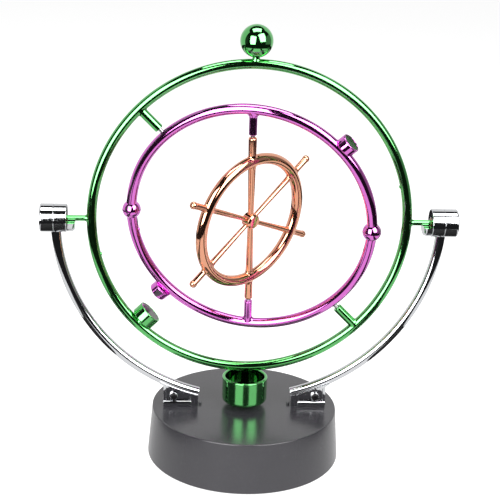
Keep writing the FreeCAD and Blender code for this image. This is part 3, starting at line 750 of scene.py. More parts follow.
# Enamelled copper wire: glossy orange-brown bands, darker in the grooves between wires as painted shade.
ENAMELLED_COPPER = Wound("enamelled_copper_winding_painted_groove_shade", "C8743A", "6E3516", 0.4)
# Natural nylon bobbin: milky off-white.
NYLON = Moulded("moulded_nylon_natural", "E6E1D2", "DCD6C4", 0.42, 1.2, 8.0)
# Solder-masked fibre board: glossy green with the weave just showing.
SOLDER_MASK = Moulded("solder_masked_fibre_board", "0F5B32", "17683B", 0.3, 0.9, 10.0)
# Filled epoxy component bodies: matt black.
EPOXY_BLACK = Moulded("transfer_moulded_epoxy", "1D1D1F", "2A2A2C", 0.6, 0.4, 10.0)
# Shrink sleeve on an aluminium can: dark blue satin.
CAN_SLEEVE = Moulded("shrink_sleeved_aluminium_can", "1F2B52", "26345F", 0.35, 1.5, 8.0)
# Lacquered resistor bodies: tan.
RESISTOR_LACQUER = Moulded("dipped_resistor_lacquer", "C9A878", "BD9A68", 0.4, 0.6, 10.0)
# Nickel-plated spring wire and strip.
CONTACT_NICKEL = Ground("nickel_plated_spring_steel", "C6C3BA", "A8A59C", 0.25, 0.6, 3.0)
# PVC insulated hook-up wire: red.
LEAD_PVC = Moulded("pvc_hookup_wire_sleeve", "A81E1A", "97201B", 0.45, 1.0, 6.0)

FINISH_OF_SLOT: dict[str, Finish] = {
    "base_plastic": GRAPHITE_ABS, "plate_plastic": BLACK_ABS, "foot_rubber": FOOT_RUBBER,
    "screw_steel": SCREW_ZINC, "chrome_rod": CHROME_ROD, "chrome_drum": CHROME_DRUM,
    "bush_bronze": SINTERED_BRONZE, "green_metal_coat": GREEN_COAT, "purple_metal_coat": PURPLE_COAT,
    "copper_metal_coat": COPPER_COAT, "magnet_nickel": NICKEL_MAGNET, "pin_steel": PIN_STEEL,
    "bobbin_plastic": NYLON, "coil_copper": ENAMELLED_COPPER, "core_iron": SOFT_IRON,
    "board_green": SOLDER_MASK, "component_black": EPOXY_BLACK, "component_can": CAN_SLEEVE,
    "resistor_tan": RESISTOR_LACQUER, "contact_nickel": CONTACT_NICKEL, "lead_sleeve": LEAD_PVC,
}


# Pieces
def fill_mesh(mesh: bpy.types.Mesh, shells: list[Shell], axes: Axes) -> None:
    """Writes shells into a mesh as whole arrays, each shell's indices moved past the ones before it.

    Args:
        mesh: the empty mesh.
        shells: the surfaces in local millimetres.
        axes: where the local axes lie.
    """
    offsets = np.cumsum([0] + [len(shell.points) for shell in shells[:-1]])
    points = axes.place(np.vstack([shell.points for shell in shells]))
    faces = [face + offset for shell, offset in zip(shells, offsets) for face in shell.faces]
    sizes = np.concatenate([np.full(len(face), face.shape[1]) for face in faces])
    mesh.vertices.add(len(points))
    mesh.vertices.foreach_set("co", points.astype(np.float32).ravel())
    mesh.loops.add(int(sizes.sum()))
    mesh.loops.foreach_set("vertex_index", np.concatenate([face.ravel() for face in faces]).astype(np.int32))
    mesh.polygons.add(len(sizes))
    mesh.polygons.foreach_set("loop_start", (np.cumsum(sizes) - sizes).astype(np.int32))
    mesh.update(calc_edges=True)
    mesh.validate()


def add_piece(node: str, shells: list[Shell], axes: Axes, crease_deg: float = 35.0,
              finish: Finish | None = None) -> bpy.types.Object:
    """Makes the finished piece that stands for a CAD node.

    Args:
        node: the CAD node, which gives the piece its body, its slot and its usual finish.
        shells: the piece's surfaces in local millimetres.
        axes: where the local axes lie.
        crease_deg: edges sharper than this stay sharp in the shading.
        finish: a finish other than the slot's.

    Returns:
        The piece.
    """
    mesh = bpy.data.meshes.new(node + "_finished")
    fill_mesh(mesh, shells, axes)
    mesh.polygons.foreach_set("use_smooth", np.ones(len(mesh.polygons), bool))
    mesh.set_sharp_from_angle(angle=math.radians(crease_deg))
    mesh.materials.append((finish or FINISH_OF_SLOT[SLOT_OF[node]]).material())
    piece = bpy.data.objects.new(node + "_finished", mesh)
    bpy.context.scene.collection.objects.link(piece)
    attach(piece, frame["nodes"][node]["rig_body"])
    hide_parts(node)
    LOG.info("%s: %d faces", piece.name, len(mesh.polygons))
    return piece


def dress(node: str, finish: Finish | None = None) -> None:
    """Gives a CAD node that keeps its shape a finished material.

    Args:
        node: the CAD node.
        finish: a finish other than its slot's.
    """
    material = (finish or FINISH_OF_SLOT[SLOT_OF[node]]).material()
    for slot in frame["nodes"][node].material_slots:
        slot.material = material
    LOG.info("%s: dressed in %s", node, material.name)


def bevel(piece: bpy.types.Object, width_mm: float) -> None:
    """Rounds a flat-sided piece's edges.

    Args:
        piece: the piece.
        width_mm: the rounding's width.
    """
    modifier = piece.modifiers.new("edge_round", "BEVEL")
    modifier.width = width_mm * MM
    modifier.segments = 3
    modifier.limit_method = "ANGLE"
    modifier.angle_limit = math.radians(35)
    modifier.harden_normals = True


X, Y, Z = np.eye(3)
ROOT = Axes(np.zeros(3), X, Y, Z)
CENTRE = np.array(JOINTS["outer_ring_swing"]["pos_m"], float)
PIVOT = Axes(CENTRE, X, Y, Z)


def unit(values: list[float]) -> Array:
    """A direction of length one."""
    return np.array(values, float) / np.linalg.norm(values)


def middle_axes() -> Axes:
    """The middle ring's axes, from the joints that lie in its plane at 90 and 135 degrees.

    Returns:
        Axes about the pivot.
    """
    quarter, diagonal = unit(JOINTS["wheel_spin"]["axis"]), unit(JOINTS["middle_ring_spin"]["axis"])
    a = math.radians(135.0)
    return ring_axes(CENTRE, (diagonal - math.sin(a) * quarter) / math.cos(a), quarter)


def wheel_axes() -> Axes:
    """The wheel's axes: its axle points at 90 degrees, and its first spoke leans towards 0 degrees.

    Returns:
        Axes about the pivot.
    """
    quarter = unit(JOINTS["wheel_spin"]["axis"])
    mesh = frame["nodes"]["wheel_spoke_1"].data
    points = np.empty(len(mesh.vertices) * 3, np.float32)
    mesh.vertices.foreach_get("co", points)
    spoke = points.reshape(-1, 3).mean(axis=0) - CENTRE
    return ring_axes(CENTRE, spoke - (spoke @ quarter) * quarter, quarter)


@dataclass(frozen=True)
class Base:
    """Cone-shaped cover with screw bosses and rubber feet, in millimetres from the resting plane."""

    bottom_r: float = 50.4
    top_r: float = 48.3
    low: float = 0.8
    high: float = 27.0
    wall: float = 2.2
    top_t: float = 2.4
    edge_round: float = 0.5
    merge: float = 0.4
    boss_at: float = 43.4
    boss_low: float = 2.8
    boss_r: float = 3.0
    boss_bore_r: float = 1.0
    coil_rib_in: float = 16.0
    coil_rib_out: float = 17.2
    coil_rib_h: float = 1.5
    foot_at: float = 40.0
    foot_r: float = 4.45
    foot_h: float = 1.58
    dish_h: float = 0.25
    dish_r: float = 2.6
    sole_in: float = 3.0
    nib_at: float = 23.3
    nib_r: float = 0.8
    nib_h: float = 1.4

    def cover(self) -> None:
        """Turned wall and top, screw bosses, the coil's locating rib and two nibs."""
        under = self.high - self.top_t
        into, rib_low = under + self.merge, under - self.coil_rib_h
        outline = [(under, 0.0), (under, self.top_r - self.wall), (self.low, self.bottom_r - self.wall),
                   (self.low, self.bottom_r), (self.high, self.top_r), (self.high, 0.0)]
        shells = [turned(np.zeros(3), Z, outline, [0.0, 1.0, 0.3, 0.35, self.edge_round, 0.0], 192)]
        shells += [sleeve(on_floor(a, self.boss_at), Z, (self.boss_low, into), self.boss_bore_r, self.boss_r,
                          [0.1, 0.2, 0.1, 0.1], 40) for a in (25.0, 155.0, 205.0, 335.0)]
        shells.append(sleeve(np.zeros(3), Z, (rib_low, into), self.coil_rib_in, self.coil_rib_out,
                             [0.2, 0.2, 0.1, 0.1], 96))
        nib = (under + 1.0, self.high + self.nib_h)
        shells += [plug(side * self.nib_at * X, Z, nib, self.nib_r, (0.1, 0.45), 32) for _, side in SIDES]
        add_piece("base_cover", shells, ROOT)

    def feet(self) -> None:
        """Four discs with a rounded edge and a shallow dished sole."""
        outline = [(self.dish_h, 0.0), (self.dish_h, self.dish_r), (0.0, self.sole_in), (0.0, self.foot_r),
                   (self.foot_h, self.foot_r), (self.foot_h, 0.0)]
        feet = [turned(on_floor(a, self.foot_at), Z, outline, [0.0, 0.15, 0.15, 0.45, 0.1, 0.0], 48)
                for a in (0.0, 90.0, 180.0, 270.0)]
        add_piece("rubber_feet", feet, ROOT)

    def build(self) -> None:
        """Builds the cover and feet and dresses the plate, its door and its screws."""
        self.cover()
        self.feet()
        for node in ("bottom_plate", "battery_door", "plate_screws"):
            dress(node)


@dataclass(frozen=True)
class Arms:
    """Bent rods and the wedge shoes under them, in millimetres round the pivot axis."""

    arc_r: float = 98.0
    rod_r: float = 2.5
    rod_steps: int = 120
    first_deg: float = 14.3
    last_drop: float = 3.0
    base_top: float = -102.0
    shoe_in: float = 24.4
    shoe_out: float = 42.65
    shoe_w: float = 5.8
    web_t: float = 3.4
    post_t: float = 1.3
    toe_l: float = 4.2
    strip_t: float = 1.3
    foot_w: float = 7.4
    foot_t: float = 3.2
    foot_in: float = 28.1
    foot_round: float = 1.4
    lip_out: float = 44.6
    lip_t: float = 1.0
    lip_root: float = 0.6
    sink: float = 1.0
    boss_r: float = 2.2
    clamp_x: float = 37.3
    clamp_up: float = 5.6
    clamp_sunk: float = 0.65
    shank_r: float = 0.9
    head_r: float = 2.0
    head_low: float = 0.6
    head_rim: float = 0.8
    dome_h: float = 0.75
    dome_turn: float = 1.25
    socket_r: float = 0.8
    socket_top: float = 1.5

    def rod(self, side: float) -> Shell:
        """Round section carried round the arc, its ends rounded.

        The centre is R (side sin a, 0, -cos a) and the section r (cos t * out + sin t * Y).

        Args:
            side: -1 for the left, 1 for the right.

        Returns:
            The closed shell.
        """
        last = math.pi / 2 - math.asin(self.last_drop / self.arc_r)
        first = math.radians(self.first_deg)
        length = self.arc_r * (last - first)
        outline = rounded([(0.0, 0.0), (0.0, self.rod_r), (length, self.rod_r), (length, 0.0)],
                          [0.0, 0.3, 0.3, 0.0], 5)[1:-1]
        half = len(outline) // 2
        run = np.linspace([1.0, self.rod_r], [length - 1.0, self.rod_r], self.rod_steps)
        profile = np.vstack([outline[:half], run, outline[half:]])
        a = (first + profile[:, 0] / self.arc_r)[:, None]
        out = np.stack([side * np.sin(a), 0 * a, -np.cos(a)], -1)
        t = np.linspace(0.0, 2 * np.pi, 48, endpoint=False)[None, :, None]
        return loft(self.arc_r * out + profile[:, 1:, None] * (np.cos(t) * out + np.sin(t) * Y))

    def saddle(self, x: Array, below: float) -> Array:
        """Height of a circle that runs a little outside the rod's centre line: -sqrt((R + below)^2 - x^2)."""
        return -np.sqrt((self.arc_r + below) ** 2 - x**2)

    def wedge(self, first: float, last: float, floor: float, below: float) -> Array:
        """Outline in (x, z): a flat floor from first to last, two uprights and an arc under the rod.

        Args:
            first: the floor's beginning.
            last: the floor's end.
            floor: the floor's height.
            below: how far the arc lies outside the rod's centre line.

        Returns:
            The closed outline, of shape (40, 2).
        """
        t = np.linspace(0.0, 1.0, 20)
        foot = np.stack([first + (last - first) * t, np.full(20, floor)], -1)
        arc = last + (first - last) * t
        return np.vstack([foot, np.stack([arc, self.saddle(arc, below)], -1)])

    def slab(self, side: float, outlines: list[Array], across: list[float]) -> Shell:
        """Stack of (x, z) outlines at the given places across the shoe, its two ends closed flat.

        Args:
            side: -1 for the left, 1 for the right.
            outlines: the outlines, with as many points each.
            across: each outline's y.

        Returns:
            The closed shell.
        """
        rows = [np.stack([side * outline[:, 0], np.full(len(outline), y), outline[:, 1]], -1)
                for outline, y in zip(outlines, across)]
        return loft(np.stack(rows), Ends.PLATES)

    def shoe(self, side: float) -> list[Shell]:
        """Wedge with a pocket in each face that leaves a web, and the foot, the lip and the screw's boss.

        The wedge's stack runs from one pocket's floor, out over its frame and round to the other pocket's.

        Args:
            side: -1 for the left, 1 for the right.

        Returns:
            The four closed shells.
        """
        floor, half, web = self.base_top + self.foot_t, self.shoe_w / 2, self.web_t / 2
        outer = self.wedge(self.shoe_in, self.shoe_out, self.base_top, self.sink)
        pocket = self.wedge(self.shoe_in + self.toe_l, self.shoe_out - self.post_t, floor,
                            self.sink + self.strip_t)
        body = self.slab(side, [pocket, pocket, outer, outer, pocket, pocket],
                         [-web, -half, -half, half, half, web])
        wide, low = self.foot_w / 2, self.base_top
        foot = rounded([(-wide, low), (wide, low), (wide, floor), (-wide, floor)],
                       [0.05, 0.05, self.foot_round, self.foot_round], closed=True)
        sole = loft(np.stack([np.column_stack([np.full(len(foot), side * x), foot])
                              for x in (self.foot_in, self.shoe_out + 0.02)]), Ends.PLATES)
        root = self.shoe_out - self.lip_root
        x = np.array([root, self.lip_out, self.lip_out, root])
        lip = np.stack([x, self.saddle(x, self.sink) - np.array([self.lip_t, self.lip_t, 0.02, 0.02])], -1)
        clamp = np.array([side * self.clamp_x, 0.0, self.base_top + self.clamp_up])
        boss = plug(clamp, -Y, (0.5, half - 0.02), self.boss_r, (0.1, 0.3), 48)
        return [body, sole, self.slab(side, [lip, lip], [0.04 - half, half - 0.04]), boss]

    def clamp_screw(self, side: float) -> Shell:
        """Low dome head with a hexagon socket.

        The outline turns about -Y. The dome's radius is R (1 - 0.75 (1 - cos a)); past it the round sections
        become hexagons, r = 0.93 r / cos(((t + 30) mod 60) - 30), down to the socket's floor.

        Args:
            side: -1 for the left, 1 for the right.

        Returns:
            The closed shell.
        """
        start = np.array([side * self.clamp_x, self.clamp_sunk - self.shoe_w / 2,
                          self.base_top + self.clamp_up])
        a = np.linspace(0.0, 1.0, 9)[1:] * self.dome_turn
        radius = self.head_r * (1 - 0.75 * (1 - np.cos(a)))
        dome = np.stack([self.head_rim + self.dome_h * np.sin(a), radius], -1)
        shank = [(0.0, self.shank_r), (self.head_low, self.shank_r), (self.head_low, self.head_r),
                 (self.head_rim, self.head_r)]
        socket = [(self.socket_top, self.socket_r + 0.05), (self.socket_top, self.socket_r),
                  (self.head_rim, self.socket_r), (self.head_rim, self.socket_r - 0.02)]
        profile = np.vstack([shank, dome, socket])
        t = np.linspace(0.0, 2 * np.pi, 48, endpoint=False)
        shape = np.ones((len(profile), len(t)))
        shape[-3:] = 0.93 / np.cos(np.mod(t + np.pi / 6, np.pi / 3) - np.pi / 6)
        spin = np.stack([np.cos(t), 0 * t, np.sin(t)], -1)
        return loft(start - profile[:, :1, None] * Y + (profile[:, 1:] * shape)[..., None] * spin)

    def build(self) -> None:
        """Builds both rods, both shoes and the two clamp screws."""
        for word, side in SIDES:
            add_piece("arm_" + word, [self.rod(side)], PIVOT)
            bevel(add_piece("arm_shoe_" + word, self.shoe(side), PIVOT), 0.35)
        add_piece("clamp_screws", [self.clamp_screw(side) for _, side in SIDES], PIVOT, 30.0, BLACK_SCREW)
        dress("shoe_screws")


@dataclass(frozen=True)
class Drums:
    """Two-part bearing drums with a half-round lip and a bronze bush, in millimetres from the centre."""

    drum_r: float = 7.15
    inner: float = 92.3
    seam: float = 98.7
    outer: float = 105.8
    lip_in: float = 88.2
    lip_r: float = 6.7
    lip_edge: float = 1.6
    lip_top: float = -1.1
    bush_r: float = 2.6
    bush_l: float = 3.6
    bore_r: float = 1.51
    bore_l: float = 3.2
    groove_r: float = 1.85
    seam_gap: float = 0.02

    def lip(self, side: float) -> Shell:
        """Trough under the pin: a half-round outline carried along X, its end rounded.

        The outline is the circle below the top plane, closed by a line with a round groove for the pin. Near
        the free end the circle's radius is R - e + sqrt(e^2 - (e - x)^2).

        Args:
            side: -1 for the left, 1 for the right.

        Returns:
            The closed shell.
        """
        x = self.lip_edge * (1 - np.cos(np.linspace(0.0, np.pi / 2, 9)))
        x = np.append(x, self.inner + 0.5 - self.lip_in)
        over = np.clip(self.lip_edge - x, 0.0, None)
        radius = (self.lip_r - self.lip_edge + np.sqrt(self.lip_edge**2 - over**2))[:, None]
        start = np.arcsin(self.lip_top / radius)
        t = start + (-np.pi - 2 * start) * np.linspace(0.0, 1.0, 49)[None]
        arc = np.stack([radius * np.cos(t), radius * np.sin(t)], -1)
        groove = np.linspace(np.pi * 1.18, np.pi * 1.82, 13)
        inner = self.groove_r * np.stack([np.cos(groove), np.sin(groove)], -1)
        inner[[0, -1], 1] = self.lip_top
        outline = np.concatenate([arc, np.broadcast_to(inner, (len(x),) + inner.shape)], axis=1)
        across = np.broadcast_to(side * (self.lip_in + x)[:, None], outline.shape[:2])
        return loft(np.stack([across, outline[..., 0], outline[..., 1]], -1), Ends.PLATES)

    def build(self) -> None:
        """Builds each side's housing, cap and bush."""
        for word, side in SIDES:
            along, start = side * X, side * self.inner * X
            deep, wide, long = self.bush_l, self.seam - self.inner - self.seam_gap, self.outer - self.seam
            housing = turned(start, along,
                             [(deep, 0.0), (deep, self.bush_r), (0.0, self.bush_r), (0.0, self.drum_r),
                              (wide, self.drum_r), (wide, 0.0)], [0.0, 0.1, 0.25, 0.4, 0.18, 0.0])
            add_piece("bearing_housing_" + word, [housing, self.lip(side)], PIVOT)
            cap = plug(side * self.seam * X, along, (self.seam_gap, long), self.drum_r, (0.25, 0.9), 96)
            add_piece("bearing_cap_" + word, [cap], PIVOT)
            bush_r, face = self.bush_r - 0.01, 0.05
            bush = turned(start, along,
                          [(self.bore_l, 0.0), (self.bore_l, self.bore_r), (face, self.bore_r),
                           (face, bush_r), (deep, bush_r), (deep, 0.0)], [0.0, 0.1, 0.3, 0.25, 0.1, 0.0], 64)
            add_piece("bearing_bush_" + word, [bush], PIVOT)


@dataclass(frozen=True)
class Magnet:
    """A pot with a disc magnet in its mouth, on a ring's radius, in millimetres from the ring's centre."""

    radius: float
    face: float
    back: float
    magnet_r: float
    magnet_t: float
    peg_to: float
    peg_r: float = 2.2

    def build(self, degrees: float, pot_node: str, magnet_node: str, axes: Axes) -> None:
        """Builds the pot, open at its face, and the disc just inside its mouth.

        Args:
            degrees: where on the ring they stand.
            pot_node: the pot's CAD node.
            magnet_node: the disc's CAD node.
            axes: the ring's axes.
        """
        way = math.copysign(1.0, self.back - self.face)
        along, start = way * polar(degrees, 1.0), polar(degrees, self.face)
        deep, long, peg = self.magnet_t, abs(self.back - self.face), abs(self.peg_to - self.face)
        pot = turned(start, along,
                     [(deep, 0.0), (deep, self.magnet_r), (0.0, self.magnet_r), (0.0, self.radius),
                      (long, self.radius), (long, self.peg_r), (peg, self.peg_r), (peg, 0.0)],
                     [0.0, 0.1, 0.2, 0.5, 0.6, 0.35, 0.1, 0.0])
        add_piece(pot_node, [pot], axes)
        disc = plug(start, along, (0.1, deep), self.magnet_r - 0.02, (0.25, 0.1), 96)
        add_piece(magnet_node, [disc], axes)


def nub(host: Host, degrees: float, way: float, radius: float, stands: float) -> Shell:
    """Gate mark left by the mould: a small rounded stub on the tube.

    Args:
        host: the ring tube.
        degrees: where on the ring it stands.
        way: 1 for outwards, -1 for inwards.
        radius: its radius.
        stands: how far it stands out of the tube.

    Returns:
        The closed shell.
    """
    span = (0.0, host.tube_r + stands)
    return plug(polar(degrees, host.radius), way * polar(degrees, 1.0), span, radius, (0.1, 0.3), 24)


def cross_pin(degrees: float, start: float, radius: float, length: float) -> Shell:
    """Plain pin along a ring's radius, its inner end at the given distance from the centre."""
    return plug(polar(degrees, start), polar(degrees, 1.0), (0.0, length), radius, (0.1, 0.25), 40)


@dataclass(frozen=True)
class OuterRing:
    """Green ring with its pins, ball, cup and magnet, in millimetres round the pivot."""

    host: Host = Host(80.0, 2.5)
    kicker: Magnet = Magnet(radius=6.5, face=70.5, back=76.7, magnet_r=5.6, magnet_t=3.0, peg_to=79.5)
    stub_r: float = 2.35
    stub_in: float = 66.0
    bore_r: float = 1.06
    bore_l: float = 3.3
    pin_r: float = 1.45
    pin_end: float = 95.4
    ball_r: float = 8.15
    ball_at: float = 91.3
    neck_r: float = 1.85
    cup_r: float = 11.8
    cup_rim: float = 85.5
    cup_low: float = 99.5
    cup_wall: float = 1.5
    cup_floor: float = 1.6
    stem_r: float = 2.2
    magnet_r: float = 7.5
    magnet_bore_r: float = 1.25
    magnet_t: float = 3.0

    def build(self) -> None:
        """Builds the ring and everything fixed to it."""
        host = self.host
        top = host.tube_r + 1.0
        stub = bored_tail(top, host.radius - self.stub_in, self.stub_r, self.bore_r, self.bore_l)
        shells = [host.tube()] + [host.branch(a, -1.0, self.stub_r, 0.7, stub) for a in (135.0, 315.0)]
        shells += [nub(host, a, -1.0, 0.8, 0.45) for a in (14.0, 194.0)]
        add_piece("outer_ring", shells, PIVOT)
        tail = plain_tail(top, self.pin_end - host.radius, self.pin_r, 0.6)
        for word, a in (("left", 180.0), ("right", 0.0)):
            add_piece("side_pin_" + word, [host.branch(a, 1.0, self.pin_r, 0.8, tail)], PIVOT)
        tail = plain_tail(top + 0.2, self.ball_at - host.radius, self.neck_r, 0.1)
        neck = host.branch(90.0, 1.0, self.neck_r, 0.45, tail)
        add_piece("top_ball", [ball(polar(90.0, self.ball_at), self.ball_r, 96), neck], PIVOT)
        self.cup()
        self.kicker.build(225.0, "outer_magnet_cup", "outer_magnet", PIVOT)

    def cup(self) -> None:
        """Open cup with a round rim, its stem from the ring and the disc magnet on its floor."""
        floor, inside = self.cup_low - self.cup_floor, self.cup_r - self.cup_wall
        outline = [(floor, 0.0), (floor, inside), (self.cup_rim, inside), (self.cup_rim, self.cup_r),
                   (self.cup_low, self.cup_r), (self.cup_low, 0.0)]
        shell = turned(np.zeros(3), -Z, outline, [0.0, 0.6, 0.55, 0.55, 2.2, 0.0], 144)
        low = floor - self.magnet_t
        tail = plain_tail(self.host.tube_r + 1.1, low - self.host.radius, self.stem_r, 0.2)
        add_piece("bottom_cup", [shell, self.host.branch(270.0, 1.0, self.stem_r, 0.9, tail)], PIVOT)
        disc = sleeve(np.zeros(3), -Z, (low, floor - 0.01), self.magnet_bore_r, self.magnet_r,
                      [0.1, 0.3, 0.2, 0.1], 96)
        add_piece("cup_magnet", [disc], PIVOT)


@dataclass(frozen=True)
class MiddleRing:
    """Purple ring with beads, magnets and pivot pins, in millimetres in its own plane."""

    host: Host = Host(61.5, 2.65)
    kicker: Magnet = Magnet(radius=5.15, face=68.5, back=63.4, magnet_r=4.35, magnet_t=2.5, peg_to=62.0)
    bead_r: float = 4.75
    stub_r: float = 2.05
    stub_in: float = 48.0
    bore_r: float = 1.06
    bore_l: float = 4.0
    pin_r: float = 1.0
    pin_in: float = 60.2
    pin_out: float = 69.0

    def build(self) -> None:
        """Builds the ring and everything fixed to it."""
        axes, host = middle_axes(), self.host
        stub = bored_tail(host.tube_r + 1.9, host.radius - self.stub_in, self.stub_r, self.bore_r,
                          self.bore_l)
        shells = [host.tube()] + [host.branch(a, -1.0, self.stub_r, 1.5, stub) for a in (90.0, 270.0)]
        shells += [ball(polar(a, host.radius), self.bead_r) for a in (0.0, 180.0)]
        shells.append(nub(host, 191.0, -1.0, 0.7, 0.45))
        add_piece("middle_ring", shells, axes)
        length = self.pin_out - self.pin_in
        for word, a in (("upper", 135.0), ("lower", 315.0)):
            add_piece("middle_pin_" + word, [cross_pin(a, self.pin_in, self.pin_r, length)], axes)
        for word, a in (("upper", 45.0), ("lower", 225.0)):
            self.kicker.build(a, "middle_magnet_cup_" + word, "middle_magnet_" + word, axes)


@dataclass(frozen=True)
class Wheel:
    """Copper wheel: rim, hub, four ball-tipped spokes and two axle rods, in millimetres in its own plane."""

    host: Host = Host(33.3, 2.85)
    hub_r: float = 4.0
    hub_half: float = 3.1
    hub_bevel: float = 0.9
    hub_crown: float = 0.15
    tip_at: float = 44.4
    tip_r: float = 1.95
    spoke_hub_r: float = 1.15
    spoke_end_r: float = 1.75
    axle_end: float = 46.6
    axle_hub_r: float = 1.5
    axle_end_r: float = 2.15
    axle_edge: float = 1.1
    pin_r: float = 1.0
    pin_in: float = 43.0
    pin_out: float = 52.0

    def rod(self, degrees: float, hub_r: float, end_r: float, end: float, edge: float) -> Shell:
        """Tapered rod from inside the hub to its end.

        Args:
            degrees: its direction.
            hub_r: its radius at the hub.
            end_r: its radius at its end.
            end: its end's distance from the centre.
            edge: the end's rounding.

        Returns:
            The closed shell.
        """
        span = (self.hub_r - 1.5, end)
        return plug(np.zeros(3), polar(degrees, 1.0), span, hub_r, (0.1, edge), 40, end_r)

    def collars(self, degrees: float, radius: float) -> list[Shell]:
        """The two fillets where a rod passes through the rim.

        Args:
            degrees: the rod's direction.
            radius: the rod's radius at the rim.

        Returns:
            The inner and the outer fillet.
        """
        top = self.host.tube_r + 0.96
        tail = np.array([(top + 0.3, radius - 0.1), (top + 0.4, radius - 0.3), (top + 0.4, 0.0)])
        return [self.host.branch(degrees, way, radius, 0.8, tail, 48) for way in (-1.0, 1.0)]

    def build(self) -> None:
        """Builds the wheel and its pins."""
        axes, host = wheel_axes(), self.host
        spokes, axles = (30.0, 150.0, 210.0, 330.0), (90.0, 270.0)
        share = host.radius / self.tip_at
        spoke_r = self.spoke_hub_r + (self.spoke_end_r - self.spoke_hub_r) * share
        axle_r = self.axle_hub_r + (self.axle_end_r - self.axle_hub_r) * share
        shells = [host.tube(240, 48), nub(host, -55.0, 1.0, 0.7, 0.5)]
        shells += [collar for a in spokes for collar in self.collars(a, spoke_r + 0.02)]
        shells += [collar for a in axles for collar in self.collars(a, axle_r + 0.02)]
        add_piece("wheel_rim", shells, axes)
        half, bevelled, crown = self.hub_half, self.hub_bevel, self.hub_crown
        outline = [(-half - crown, 0.0), (-half, self.hub_r - bevelled), (-half + bevelled, self.hub_r),
                   (half - bevelled, self.hub_r), (half, self.hub_r - bevelled), (half + crown, 0.0)]
        add_piece("wheel_hub", [turned(np.zeros(3), Y, outline, [0.0, 0.5, 0.5, 0.5, 0.5, 0.0], 72)], axes)
        for i, a in enumerate(spokes):
            rod = self.rod(a, self.spoke_hub_r, self.spoke_end_r, self.tip_at, 0.2)
            add_piece(f"wheel_spoke_{i + 1}", [rod, ball(polar(a, self.tip_at), self.tip_r, 48)], axes)
        for word, a in zip(("upper", "lower"), axles):
            rod = self.rod(a, self.axle_hub_r, self.axle_end_r, self.axle_end, self.axle_edge)
            add_piece("wheel_axle_" + word, [rod], axes)
        length = self.pin_out - self.pin_in
        add_piece("wheel_pins", [cross_pin(a, self.pin_in, self.pin_r, length) for a in axles], axes)


class Drive:
    """The parts inside the base, which keep their CAD shapes."""

    def build(self) -> None:
        """Dresses the cells, contacts, coil, board and leads."""
        for i, (word, way) in enumerate((("forward", 1.0), ("reversed", -1.0)) * 2):
            dress(f"battery_cell_{i + 1}", Sleeved("printed_cell_sleeve_" + word, "B87A3C", "24262B", way))
        for node in ("contact_springs", "contact_plates", "coil_bobbin", "coil_winding", "coil_core",
                     "circuit_board", "transistor", "capacitor", "resistors", "coil_leads", "battery_leads"):
            dress(node)


# Studio
@dataclass(frozen=True)
class Paper(Finish):
    """Seamless studio paper: an even pale surface with its own faint glow."""

    tone: str
    glow: float
    albedo: float = 0.0

    def shader(self, tree: Tree, place: Socket) -> Node:
        """Glow and diffuse paper tone in one shader.

        Args:
            tree: the material's node tree.
            place: the paper's own coordinates, which its even tone leaves unused.

        Returns:
            The shader.
        """
        return add_node(tree, "ShaderNodeBsdfPrincipled",
                        inputs={"Base Color": (self.albedo, self.albedo, self.albedo, 1.0), "Roughness": 1.0,
                                "Specular IOR Level": 0.0, "Emission Color": linear(self.tone),
                                "Emission Strength": self.glow})


@dataclass(frozen=True)
class Softbox:
    """A soft area light that looks at the object: where it stands, its size and its brightness."""

    name: str
    azimuth: float
    elevation: float
    distance: float
    width: float
    height: float
    radiance: float

    def build(self, target: Array) -> None:
        """Adds the light; azimuth is counted from straight in front towards +X.

        Args:
            target: the point that it faces, in metres.
        """
        a, e = math.radians(self.azimuth), math.radians(self.elevation)
        way = Vector((math.sin(a) * math.cos(e), -math.cos(a) * math.cos(e), math.sin(e)))
        light = bpy.data.lights.new(self.name, "AREA")
        light.shape = "RECTANGLE"
        light.size, light.size_y = self.width, self.height
        light.energy = 4.0 * self.width * self.height * self.radiance
        lamp = bpy.data.objects.new(self.name, light)
        turn = way.to_track_quat("Z", "Y").to_matrix().to_4x4()
        lamp.matrix_world = Matrix.Translation(Vector(target) + way * self.distance) @ turn
        lamp.visible_camera = False
        bpy.context.scene.collection.objects.link(lamp)


